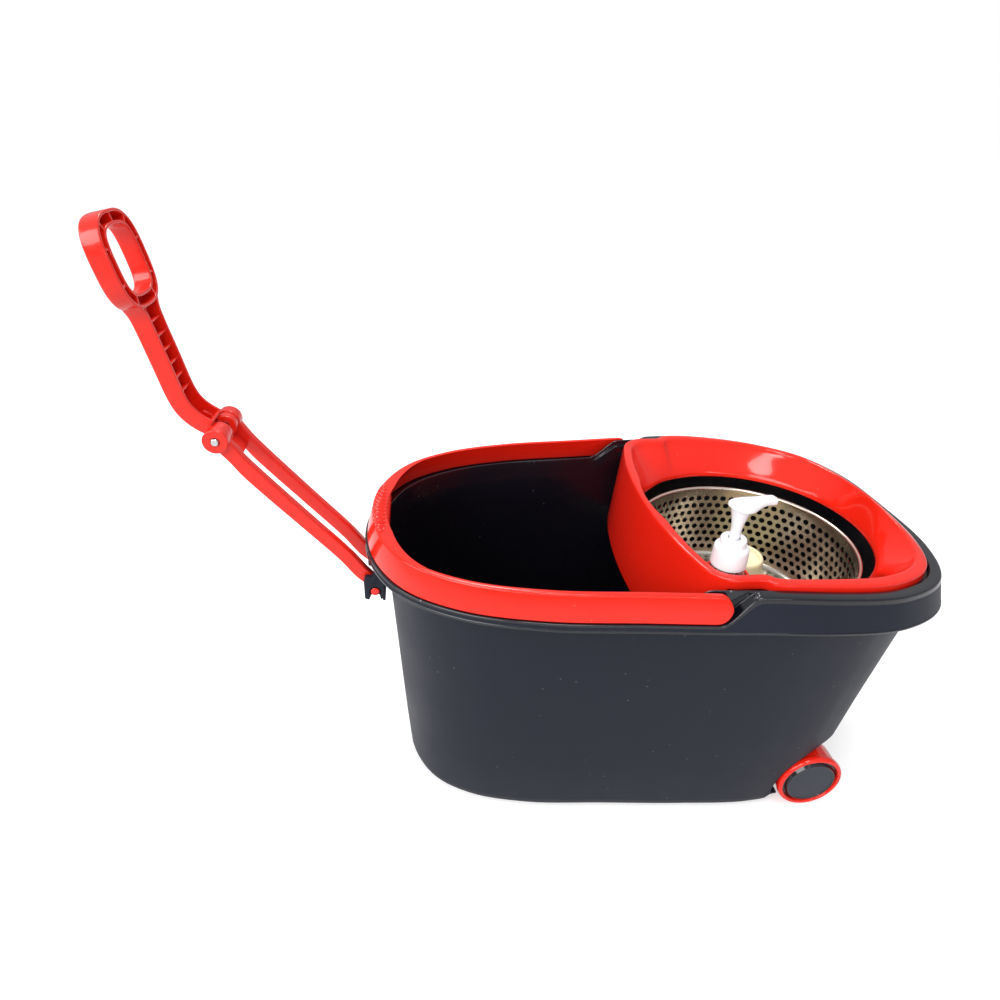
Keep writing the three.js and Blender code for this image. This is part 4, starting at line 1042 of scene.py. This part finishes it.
# %% [markdown]
# ## Wheels and axle
# Each wheel is a red moulding with a rounded ring proud of its tread, and a thin web between rim and
# hub tube that six ribs stiffen on the inner side. A black cap snaps into the outer face.

# %% Wheels, caps, axle and clips
WHEEL_IN = 95.8                     # distance of a wheel's inner face from the middle of the bucket
WHEEL_PROFILE = [(4.5, 0, 0.3), (9, 0, 0.5), (8.4, 16.4, 1), (25.0, 16.4, 1), (25.4, 0, 0.4), (27.6, 0, 0.6),
                 (28.6, 1.2, 0.8), (28.6, 17.4, 0.5), (29.2, 18.0, 0.4), (29.9, 18.6, 0.8), (30, 22.0, 2.2),
                 (28.6, 24, 1.6), (26.3, 23.9, 0.9), (25.7, 22.6, 0.4), (25.7, 19.4, 0.3), (4.5, 19.4, 0.3)]
CAP_PROFILE = [(0, 24.3, 0), (10, 24.25, 4), (21.0, 23.9, 0.5), (21.6, 24.5, 0.25), (22.2, 24.4, 0.3),
               (23.6, 21.6, 0.6), (25.2, 21.3, 0.4), (25.2, 19.8, 0.3), (23.6, 19.8, 0.3),
               (23.2, 20.6, 0.3), (20.6, 22.6, 0.5), (0, 22.8, 0)]
GLOSS_FROM = 21.1                   # the cap is glossy outside this radius


def make_wheel(side, name):
    """One side's wheel with its ribs, its cap and the clip that keeps it on the axle."""
    def across(profile):
        """The profile with its depths measured from the wheel's inner face, on this side."""
        return [(r, side * (WHEEL_IN + d), e) for r, d, e in profile]

    place = [AXLE["x"], 0, AXLE["z"]]
    parts = [turned(across(WHEEL_PROFILE), place, "y", segments=128)]
    for k in range(6):
        c, s = math.cos(k * math.pi / 3 + 0.25), math.sin(k * math.pi / 3 + 0.25)
        flat = np.array([(8.0, -0.8), (25.4, -0.8), (25.4, 0.8), (8.0, 0.8)]) @ np.array([[c, s], [-s, c]])
        low, high = sorted((side * (WHEEL_IN + 2.5), side * (WHEEL_IN + 16.9)))
        parts.append(prism(flat + [place[0], place[2]], low, high, "y", 0.3))
    wheel = make_piece(f"wheel_{name}_moulding", parts, [red_gloss])
    points, faces, shade = turned(across(CAP_PROFILE), place, "y", segments=128)
    from_axle = np.linalg.norm((points - place)[:, [0, 2]], axis=1)
    shade = (np.array([from_axle[face].mean() for face in faces]) > GLOSS_FROM) * 1.0
    cap = make_piece(f"wheel_cap_{name}_disc", [(points, faces, shade)], [cap_black, black_gloss])
    hand_over(wheel, f"{name}_wheel", "red_plastic", f"wheel_{name}")
    hand_over(cap, f"{name}_wheel", "black_plastic", f"wheel_cap_{name}")
    profile = [(4.15, 115.5, 0.15), (7.2, 115.5, 0.2), (7.2, 116.6, 0.2), (4.15, 116.6, 0.15)]
    profile = [(r, side * d, e) for r, d, e in profile]
    turned_part(f"axle_clip_{name}_ring", profile, place, axle_steel,
                "bucket", "hardware_steel", f"axle_clip_{name}", axis="y")


for side, name in SIDES:
    make_wheel(side, name)
axle = rod(AXLE["r"], -117, 117, [AXLE["x"], 0, AXLE["z"]], "y", 64, 0.6)
axle = make_piece("wheel_axle_bar", [axle], [axle_steel])
hand_over(axle, "bucket", "hardware_steel", "wheel_axle")
for side, name in SIDES:
    low, high = sorted((side * 125.5, side * 137.4))
    pin = rod(4, low, high, [BAIL_PIVOT["x"], 0, BAIL_PIVOT["z"]], "y", 48, 0.5)
    pin = make_piece(f"bail_pin_{name}_peg", [pin], [black_gloss])
    hand_over(pin, "bucket", "black_plastic", f"bail_pin_{name}")

# %% [markdown]
# ## The pull handle
# The handle has two links. A fork of two arms hangs from snap clips under the nose; its arms are
# bars that narrow beside the barrels at the pin. The upper link is a channel-shaped shaft with a
# grip ring. Bars are a rounded section swept along a smooth line in the plane y = 0.

# %% Sweeping a section along a line in the symmetry plane
KNEE = np.array([-268.5, 219.0])
TRUNNION = np.array([-257.0, 197.0])
HINGE = HINGE_AXIS[[0, 2]]
ARM_INNER, ARM_OUTER = 14.0, 21.5


def sweep(line, section, closed=False, caps=True):
    """Carries closed sections of (depth, y) along a line of (x, z): depth is measured square to the line."""
    line = np.asarray(line, float)
    ahead = np.roll(line, -1, 0) - np.roll(line, 1, 0)
    if not closed:
        ahead[0], ahead[-1] = line[1] - line[0], line[-1] - line[-2]
    ahead /= np.linalg.norm(ahead, axis=1)[:, None]
    square = np.stack([-ahead[:, 1], ahead[:, 0]], -1)
    xz = line[:, None] + square[:, None] * section[..., :1]
    return shell(np.stack([xz[..., 0], section[..., 1], xz[..., 1]], -1), close_rows=closed, caps=caps)


def box_section(half_depth, low, high, radius, steps=4):
    """Rounded rectangles of (depth, y), one for each half depth."""
    half_depth = np.atleast_1d(half_depth).astype(float)
    low, high = (np.broadcast_to(v, half_depth.shape) for v in (low, high))
    corners = np.stack([np.stack([-half_depth, low], -1), np.stack([half_depth, low], -1),
                        np.stack([half_depth, high], -1), np.stack([-half_depth, high], -1)])
    return rounded(corners, np.full(4, radius), steps).transpose(1, 0, 2)


# %% Fork
def make_fork():
    """Two arms with their barrels and stubs, joined by a web below the pin."""
    length = np.linalg.norm(KNEE - HINGE)
    ahead = (KNEE - HINGE) / length
    below = np.array([ahead[1], -ahead[0]])          # square to the arm, away from the bucket

    def along(share, offset):
        """The point a share of the way from the pin to the knee, offset away from the bucket."""
        return mix(HINGE, KNEE, share) + below * offset

    # x, z and half depth of the arm, from the pin down over the knee to the stub.
    stops = np.array([(*along(0.02, 0), 6.6), (*along(0.07, 0.4), 6.0), (*along(0.13, 1.2), 5.6),
                      (*along(0.22, 2.2), 6.0), (*along(0.4, 2.4), 6.0), (*along(0.6, 2.2), 5.8),
                      (*along(0.9, 2.0), 5.8), (*(KNEE + [0.6, -6.5]), 5.8),
                      (*(TRUNNION + [-2.8, 6]), 5.2), (*TRUNNION, 4.8)])
    line = spline(stops, 14, closed=False)
    parts = []
    for side in (-1, 1):
        def span(a, b):
            """Two distances from the middle, on this side, in rising order."""
            return sorted((side * a, side * b))

        low, high = span(ARM_INNER, ARM_OUTER)
        parts.append(sweep(line[:, :2], box_section(line[:, 2], low, high, 1.5)))
        b0, b1 = span(ARM_INNER, 25)
        hinge = [HINGE[0], 0, HINGE[1]]
        barrel = [(3.3, b0, 0.4), (9.3, b0, 1.0), (9.3, b1, 1.4), (3.3, b1, 0.4)]
        parts.append(turned(barrel, hinge, "y", 80))
        foot = [TRUNNION[0], 0, TRUNNION[1]]
        parts.append(rod(5.6, low, high, foot, "y", 48, 1.0))
        s0, s1 = span(ARM_OUTER - 1, 27.6)
        parts.append(rod(4.0, s0, s1, foot, "y", 48, 1.6))
    web = ((9.8, 2.2), (23, 1.8), (23, 6.2), (9.8, 5.4))
    web = [HINGE + ahead * down + below * out for down, out in web]
    parts.append(prism(web, -ARM_INNER - 1, ARM_INNER + 1, "y", 0.8))
    return make_piece("pull_fork_arms", parts, [red_satin])


hand_over(make_fork(), "fork", "red_plastic", "pull_fork")

# %% Upper link: shaft, ribs, knuckles
SHAFT_ANGLE = math.radians(102.7)
SHAFT_HALF, SHAFT_DEPTH, SHAFT_OFFSET, SHAFT_SHEET = 12.5, 6.5, 18.0, 2.3
RING_LOW, RING_HIGH, RING_HALF, RING_BAR = 98.0, 160.0, 31.0, 9.5
RING_MIDDLE = (RING_LOW + RING_HIGH) / 2


def on_shaft(a, b):
    """(x, z) of the point a mm up the shaft from the pin and b mm away from the bucket."""
    c, s = math.cos(SHAFT_ANGLE), math.sin(SHAFT_ANGLE)
    a, b = np.asarray(a, float), np.asarray(b, float)
    return np.stack([HINGE[0] + a * c - b * s, HINGE[1] + a * s + b * c], -1)


def shaft_block(a0, a1, y0, y1, b0, b1, edge=0.5):
    """A small rounded block in the shaft's own frame."""
    outline = on_shaft([a0, a1, a1, a0], [b0, b0, b1, b1])
    return prism(outline, y0, y1, "y", edge)


def make_shaft():
    """The channel: a three-sided section swept along the bend, its open side towards the bucket."""
    # Distance up the shaft, distance from the bucket, half width.
    stops = np.array([(7.0, 4.6, 12.2), (12.2, 9.5, 12.5), (18, 13.6, 12.5), (25, 16.6, 12.5),
                      (34, 18, 12.5), (60, 18, 12.5), (86, 18, 12.5), (94, 18, 13.6), (99, 18, 16.5),
                      (103, 18, 19.5)])
    fine = spline(stops, 10, closed=False)
    half, count = fine[:, 2], len(fine)
    back, front, sheet = np.full(count, SHAFT_DEPTH), np.full(count, -SHAFT_DEPTH), SHAFT_SHEET
    plug = smooth((8 - np.arange(count)) / 6)          # the channel's floor rises to a solid end at the pin
    floor = mix(back - sheet - 0.2, front + 1.2, plug)
    corners = np.stack([np.stack(p, -1) for p in (
        (front, -half), (back, -half), (back, half), (front, half),
        (front, half - sheet), (floor, half - sheet), (floor, sheet - half), (front, sheet - half))])
    section = rounded(corners, [0.7, 1.8, 1.8, 0.7, 0.6, 0.8, 0.8, 0.6], 4).transpose(1, 0, 2)
    return sweep(on_shaft(fine[:, 0], fine[:, 1]), section)


def make_ribs():
    """One long rib up the middle of the channel and cross ribs at even steps."""
    floor = SHAFT_OFFSET + SHAFT_DEPTH - 1.5
    parts = [shaft_block(30, 99, -0.9, 0.9, floor, floor - 7.0, 0.35)]
    for k in range(7):
        a = 36 + 10.2 * k
        parts.append(shaft_block(a, a + 1.7, 1 - SHAFT_HALF, SHAFT_HALF - 1, floor, floor - 9.4, 0.35))
    parts.append(shaft_block(25, 30.5, -6.6, -2.0, floor - 0.4, floor - 8.0, 0.4))
    return parts


def make_knuckles():
    """Two lugs round the pin, each run into the end of the shaft."""
    parts = []
    for low, high in ((0.35 - ARM_INNER, -5.5), (5.5, ARM_INNER - 0.35)):
        place = [HINGE[0], 0, HINGE[1]]
        lug = [(3.3, low, 0.4), (8.4, low, 0.9), (8.4, high, 0.9), (3.3, high, 0.4)]
        parts.append(turned(lug, place, "y", 72))
        outline = on_shaft([1.5, 12.5, 16, 6.5], [7.2, 16.2, 11.2, 1.6])
        inner, outer = sorted((low, high), key=abs)
        edge = math.copysign(SHAFT_HALF - 0.2, outer)
        parts.append(prism(outline, *sorted((inner, edge)), "y", 0.7))
    return parts


# %% Grip ring and its ribs
def ring_line(half_a, half_y, count=160):
    """A squarish loop: cosine and sine raised to the power 0.7, sampled evenly, as (a, y, normal)."""
    turn = np.linspace(0, 2 * np.pi, 720, endpoint=False)
    c, s = np.cos(turn), np.sin(turn)
    loop = np.stack([half_a * np.sign(c) * np.abs(c) ** 0.7, half_y * np.sign(s) * np.abs(s) ** 0.7], -1)
    a, y, na, ny = even(loop, count)
    return a + RING_MIDDLE, y, na, ny


def make_ring():
    """A channel section of (inset, depth) carried round the loop: outer wall, back, inner wall."""
    a, y, na, ny = ring_line((RING_HIGH - RING_LOW) / 2, RING_HALF)
    low, high, bar, sheet = SHAFT_OFFSET - SHAFT_DEPTH, SHAFT_OFFSET + SHAFT_DEPTH, RING_BAR, 2.1
    floor = high - 2.6
    corners = [(0, low), (0, high), (bar, high), (bar, low), (bar - sheet, low), (bar - sheet, floor),
               (sheet, floor), (sheet, low)]
    section = rounded(np.array(corners, float), [0.7, 2.2, 2.2, 0.7, 0.6, 0.7, 0.7, 0.6], 4)
    inset, b = section[:, :1], np.broadcast_to(section[:, 1:], (len(section), len(a)))
    xz = on_shaft(a[None] - na[None] * inset, b)
    yy = y[None] - ny[None] * inset
    ring = shell(np.stack([xz[..., 0], yy, xz[..., 1]], -1), close_rows=True)
    parts = [ring]
    for turn in np.radians([-150, -115, -72, -38, 0, 38, 72, 115, 150]):
        # The station of the loop that lies closest to this direction.
        off = np.angle(np.exp(1j * (np.arctan2(y, a - RING_MIDDLE) - turn)))
        k = int(np.argmin(np.abs(off)))
        tangent = np.array([-ny[k], na[k]])
        normal = np.array([na[k], ny[k]])
        start = np.array([a[k], y[k]])
        corners = ((1, -0.8), (bar - 1, -0.8), (bar - 1, 0.8), (1, 0.8))
        spots = [start - normal * d + tangent * w for d, w in corners]
        heights = (floor + 1, low + 0.9, low + 0.6)
        rows = np.array([[[*on_shaft(p[0], h), p[1]] for p in spots] for h in heights])
        parts.append(shell(rows[..., [0, 2, 1]]))
    return parts


link_parts = [make_shaft(), *make_ribs(), *make_knuckles(), *make_ring()]
upper_link = make_piece("pull_handle_link", link_parts, [red_satin])
hand_over(upper_link, "handle", "red_plastic", "pull_handle")

# %% Hinge pin, bracket and rivets
pin_half = size_of("hinge_pin")[1] / 2
pin_profile = [(0, -pin_half, 0), (2.2, -pin_half, 0.4), (3, 0.9 - pin_half, 0.4), (3, pin_half - 0.9, 0.4),
               (2.2, pin_half, 0.4), (0, pin_half, 0)]
turned_part("hinge_pin_bar", pin_profile, [HINGE[0], 0, HINGE[1]], pin_steel,
            "fork", "hardware_steel", "hinge_pin", axis="y", segments=64)


def make_bracket():
    """A back plate against the nose and two clips, each with a mouth that snaps over a stub."""
    parts = [prism([(-251, 188), (-248.6, 188), (-249.4, 233), (-251, 233)], -28, 28, "y", 0.5)]
    x, z = TRUNNION
    mouth = np.linspace(math.radians(-42), math.radians(222), 26)
    arc = [(x + 4.35 * math.cos(t), z + 4.35 * math.sin(t)) for t in mouth]
    for low, high in ((-27, -22.3), (22.3, 27)):
        outline = [(-250, 190), (-250, 226), (-255, 226), (-258.5, 212), (-264.5, 212), (-266, 208),
                   (-266, 190), (-262.5, 188.5), *arc[::-1], (-252.5, 188.5)]
        parts.append(prism(outline, low, high, "y", 0.45, steps=2))
    return make_piece("handle_bracket_clips", parts, [black_satin])


hand_over(make_bracket(), "bucket", "black_plastic", "handle_bracket")
for side, name in SIDES:
    profile = [(0, -254.2, 0), (2.8, -254.2, 0.8), (3.6, -253.2, 0.3), (3.6, -251.35, 0.2),
               (2, -251.35, 0.1), (2, -244.6, 0.1), (3.6, -244.6, 0.2), (3.6, -243.4, 0.4), (0, -243.2, 0)]
    turned_part(f"bracket_rivet_{name}_head", profile, [0, side * RIVET_Y, RIVET_Z], rivet_steel,
                "bucket", "hardware_steel", f"bracket_rivet_{name}", axis="x", segments=40)

# %% [markdown]
# ## The soap pump
# A clear bottle stands in the cover's cup, with a white screw closure, a collar and a plunger whose
# head is flat on top and flares from its stem. The turned parts are profiles; the head is a row of
# rounded cross sections that swell to the thumb plate and shrink to the spout.

# %% Bottle, closure, gasket and dip tube
BOTTLE_R = size_of("bottle")[0] / 2


inner = BOTTLE_R - 1.3
bottle_profile = [(0, 174.5, 0), (8, 174.2, 2), (BOTTLE_R - 1.5, 173, 2), (BOTTLE_R, 176.5, 2.5),
                  (BOTTLE_R, 252, 3), (BOTTLE_R - 0.6, 257, 3), (12.6, 261, 3), (10.8, 262.4, 1.5),
                  (10.8, 275, 0.4), (8.6, 275, 0.4), (8.6, 262.6, 1.5), (11.2, 259.6, 2),
                  (inner - 0.3, 255.5, 3), (inner, 251, 2), (inner, 178, 2.5), (BOTTLE_R - 3.5, 175.6, 2),
                  (0, 176, 0)]
turned_part("bottle_blown", bottle_profile, BOTTLE, bottle_clear,
            "bucket", "clear_plastic", "bottle", segments=96)
closure_profile = [(11.3, 266.4, 0.3), (13.1, 266.4, 0.7), (12.7, 281.4, 1.2), (11.6, 282.8, 1.2),
                   (9.9, 283.2, 0.5), (9.7, 284.0, 0.4), (9.5, 288.4, 0.9), (8.6, 289.6, 0.6),
                   (4.6, 289.6, 0.5), (4.4, 285, 0.3), (6.6, 279, 0.3), (6.6, 277.6, 0.2),
                   (11.3, 277.6, 0.2)]
turned_part("bottle_closure_cap", closure_profile, BOTTLE, white_plastic,
            "bucket", "white_plastic", "bottle_closure")
gasket_profile = [(7, 275.35, 0.2), (10.6, 275.35, 0.2), (10.6, 276.35, 0.2), (7, 276.35, 0.2)]
turned_part("closure_gasket_ring", gasket_profile, BOTTLE, gasket_rubber,
            "bucket", "gasket_rubber", "closure_gasket")
tube_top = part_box("dip_tube")[1][2] / MM
tube_profile = [(1.4, 179, 0.1), (2.1, 179, 0.1), (2.1, tube_top, 0.1), (1.4, tube_top, 0.1)]
turned_part("dip_tube_natural", tube_profile, BOTTLE, tube_plastic,
            "bucket", "natural_plastic", "dip_tube", segments=40)

# %% Pump body and plunger
body_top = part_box("pump_body")[1][2] / MM
# Radius, depth below the flange's top, corner radius.
body_profile = [(4.9, 0, 0.2), (10.4, 0, 0.2), (10.4, 0.8, 0.2), (6.3, 0.8, 0.3), (6.3, 41.8, 1),
                (3.6, 45.8, 0.8), (3.6, 51.8, 0.3), (2.4, 51.8, 0.2), (2.4, 44.8, 0.5), (4.9, 40.8, 0.8)]
body_profile = [(radius, body_top - depth, edge) for radius, depth, edge in body_profile]
turned_part("pump_body_tube", body_profile, BOTTLE, white_plastic,
            "bucket", "white_plastic", "pump_body")
stem_profile = [(0, 259, 0), (4.6, 259, 0.4), (4.6, 263, 0.4), (3, 264, 0.3), (3, 298, 0.3), (0, 298, 0)]
turned_part("pump_stem_rod", stem_profile, BOTTLE, white_plastic,
            "pump", "white_plastic", "pump_stem", segments=64)
HEAD_TURN = math.radians(14)        # the spout looks a little towards the basket


def make_pump_head():
    """The flared stem, and a head lofted from superellipse sections along the spout."""
    flare = turned([(3.2, 288.2, 0.2), (3.7, 288.2, 0.3), (3.9, 298, 3), (5.2, 306, 4), (7.2, 314, 0.5),
                    (7.2, 316, 0.5), (0, 316.6, 0), (0, 299, 0), (3.2, 299, 0.2)], [0, 0, 0], segments=80)
    # Distance along the spout, half width, underside, top.
    stops = np.array([(-9.8, 1.6, 316.2, 317.0), (-8.6, 4.6, 315.4, 317.8), (-5.6, 7.6, 314.0, 318.4),
                      (-1, 9.2, 312.4, 318.8), (5, 8.8, 312.0, 319.1), (10, 7.2, 312.6, 319.3),
                      (15, 5.4, 313.4, 319.5), (20, 4.4, 313.8, 319.6), (25, 4.1, 313.4, 319.4),
                      (28.2, 3.9, 313.0, 319.0), (29.0, 3.4, 313.4, 318.4)])
    fine = spline(stops, 8, closed=False)
    turn = np.linspace(0, 2 * np.pi, 48, endpoint=False)
    c, s = np.cos(turn), np.sin(turn)
    round_y, round_z = np.sign(c) * np.abs(c) ** 0.62, np.sign(s) * np.abs(s) ** 0.62
    middle, half = (fine[:, 3] + fine[:, 2]) / 2, (fine[:, 3] - fine[:, 2]) / 2
    grid = np.stack([np.broadcast_to(fine[:, :1], (len(fine), 48)), fine[:, 1:2] * round_y,
                     middle[:, None] + half[:, None] * round_z], -1)
    head = shell(grid)
    c, s = math.cos(HEAD_TURN), math.sin(HEAD_TURN)
    placed = []
    for points, faces, shade in (flare, head):
        points = points @ np.array([[c, s, 0], [-s, c, 0], [0, 0, 1]]) + BOTTLE
        placed.append((points, faces, shade))
    return make_piece("pump_head_spout", placed, [white_plastic], sharp=50)


hand_over(make_pump_head(), "pump", "white_plastic", "pump_head")
spring_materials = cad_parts["pump_spring"].data.materials
spring_materials.clear()
spring_materials.append(spring_steel)


# %% [markdown]
# ## Studio
# The bucket stands on a plain pale floor in a bright room. Two soft lights above give the red edges
# their pale sheen, one from the left lifts the nose, and a low strip in front draws a line along the
# side. A broad sun makes the soft shadow. The sky is white to the camera and darker towards the
# horizon in reflections, so that steel and gloss have something to mirror.

# %% Camera, floor, lights and sky
FLOOR_LIFT = 0.42                   # how much the floor glows, for the camera only


def make_camera():
    """The camera stands on the near side, well above the rim, and looks down at it."""
    camera = bpy.data.objects.new("camera", bpy.data.cameras.new("camera"))
    bpy.context.scene.collection.objects.link(camera)
    camera.location = (-0.21585, -0.48902, 0.54450)
    camera.rotation_euler = [math.radians(a) for a in (60.727, -2.109, -6.475)]
    camera.data.sensor_width, camera.data.lens = 36.0, 23.98
    bpy.context.scene.camera = camera


def make_floor():
    """A wide pale floor with a faint mottling, lit a little more for the camera than for reflections."""
    material, tree, shader, place = new_material("floor_white")
    grain = node(tree, "ShaderNodeGroup", {"Vector": place}, node_tree=GRAIN)
    shade = node(tree, "ShaderNodeMixRGB", {"Fac": grain.outputs["Broad"]}, Color1=(0.70, 0.70, 0.70, 1),
                 Color2=(0.74, 0.74, 0.74, 1))
    tree.links.new(shade.outputs[0], shader.inputs["Base Color"])
    shader.inputs["Roughness"].default_value = 0.7
    shader.inputs["Specular IOR Level"].default_value = 0.1
    seen = node(tree, "ShaderNodeLightPath").outputs["Is Camera Ray"]
    tree.links.new(maths(tree, "MULTIPLY", seen, FLOOR_LIFT), shader.inputs["Emission Strength"])
    shader.inputs["Emission Color"].default_value = (1, 1, 1, 1)
    half = 40000.0
    corner = np.array([(-1, -1, 0), (1, -1, 0), (1, 1, 0), (-1, 1, 0)]) * half
    floor = make_piece("floor", [(corner - [0, 0, 0.5], [[0, 1, 2, 3]], np.zeros(1))], [material])


def soft_light(name, place, aim, size, power):
    """A square area light in metres, turned so that it faces the aim."""
    light = bpy.data.lights.new(name, "AREA")
    light.shape, light.size, light.energy = "SQUARE", size, power
    lamp = bpy.data.objects.new(name, light)
    bpy.context.scene.collection.objects.link(lamp)
    lamp.location = place
    lamp.rotation_euler = (Vector(aim) - Vector(place)).to_track_quat("-Z", "Y").to_euler()
    return lamp


def broad_sun(name, toward, angle, strength):
    """A sun lamp so wide that its shadows are soft; toward is the way its light travels."""
    light = bpy.data.lights.new(name, "SUN")
    light.energy, light.angle = strength, math.radians(angle)
    lamp = bpy.data.objects.new(name, light)
    bpy.context.scene.collection.objects.link(lamp)
    lamp.rotation_euler = Vector(toward).to_track_quat("-Z", "Y").to_euler()
    return lamp


def make_sky():
    """White to the camera; to reflections and fill light, bright above and greyer towards the horizon."""
    world = bpy.data.worlds.new("studio")
    bpy.context.scene.world = world
    world.use_nodes = True
    tree = world.node_tree
    back = tree.nodes["Background"]
    place = node(tree, "ShaderNodeTexCoord").outputs["Generated"]
    parts = node(tree, "ShaderNodeSeparateXYZ", {"Vector": place})
    ramp = node(tree, "ShaderNodeValToRGB", {"Fac": parts.outputs["Z"]})
    low, high = ramp.color_ramp.elements
    low.position, low.color = 0.0, (0.30, 0.30, 0.31, 1)
    high.position, high.color = 0.75, (0.62, 0.62, 0.64, 1)
    seen = node(tree, "ShaderNodeLightPath").outputs["Is Camera Ray"]
    colour = node(tree, "ShaderNodeMixRGB", {"Fac": seen, "Color1": ramp.outputs[0]},
                  Color2=(1.0, 1.0, 1.0, 1))
    tree.links.new(colour.outputs[0], back.inputs["Color"])
    back.inputs["Strength"].default_value = 1.0


make_camera()
make_floor()
soft_light("window", (-0.06, -0.60, 1.70), (0.13, 0.1, 0.24), 0.42, 5)
soft_light("overhead", (-0.15, 0.8, 1.4), (0.0, 0.0, 0.2), 0.42, 8)
soft_light("left", (-1.5, -0.3, 0.9), (-0.1, 0.0, 0.2), 0.7, 6)
soft_light("front", (0.0, -2.2, 0.75), (0.0, 0.0, 0.2), 0.8, 7).scale = (2.4, 0.14, 1)
broad_sun("daylight", (0.62, 0.66, -0.62), 40, 1.9)
make_sky()
bpy.context.scene.view_settings.view_transform = "Standard"
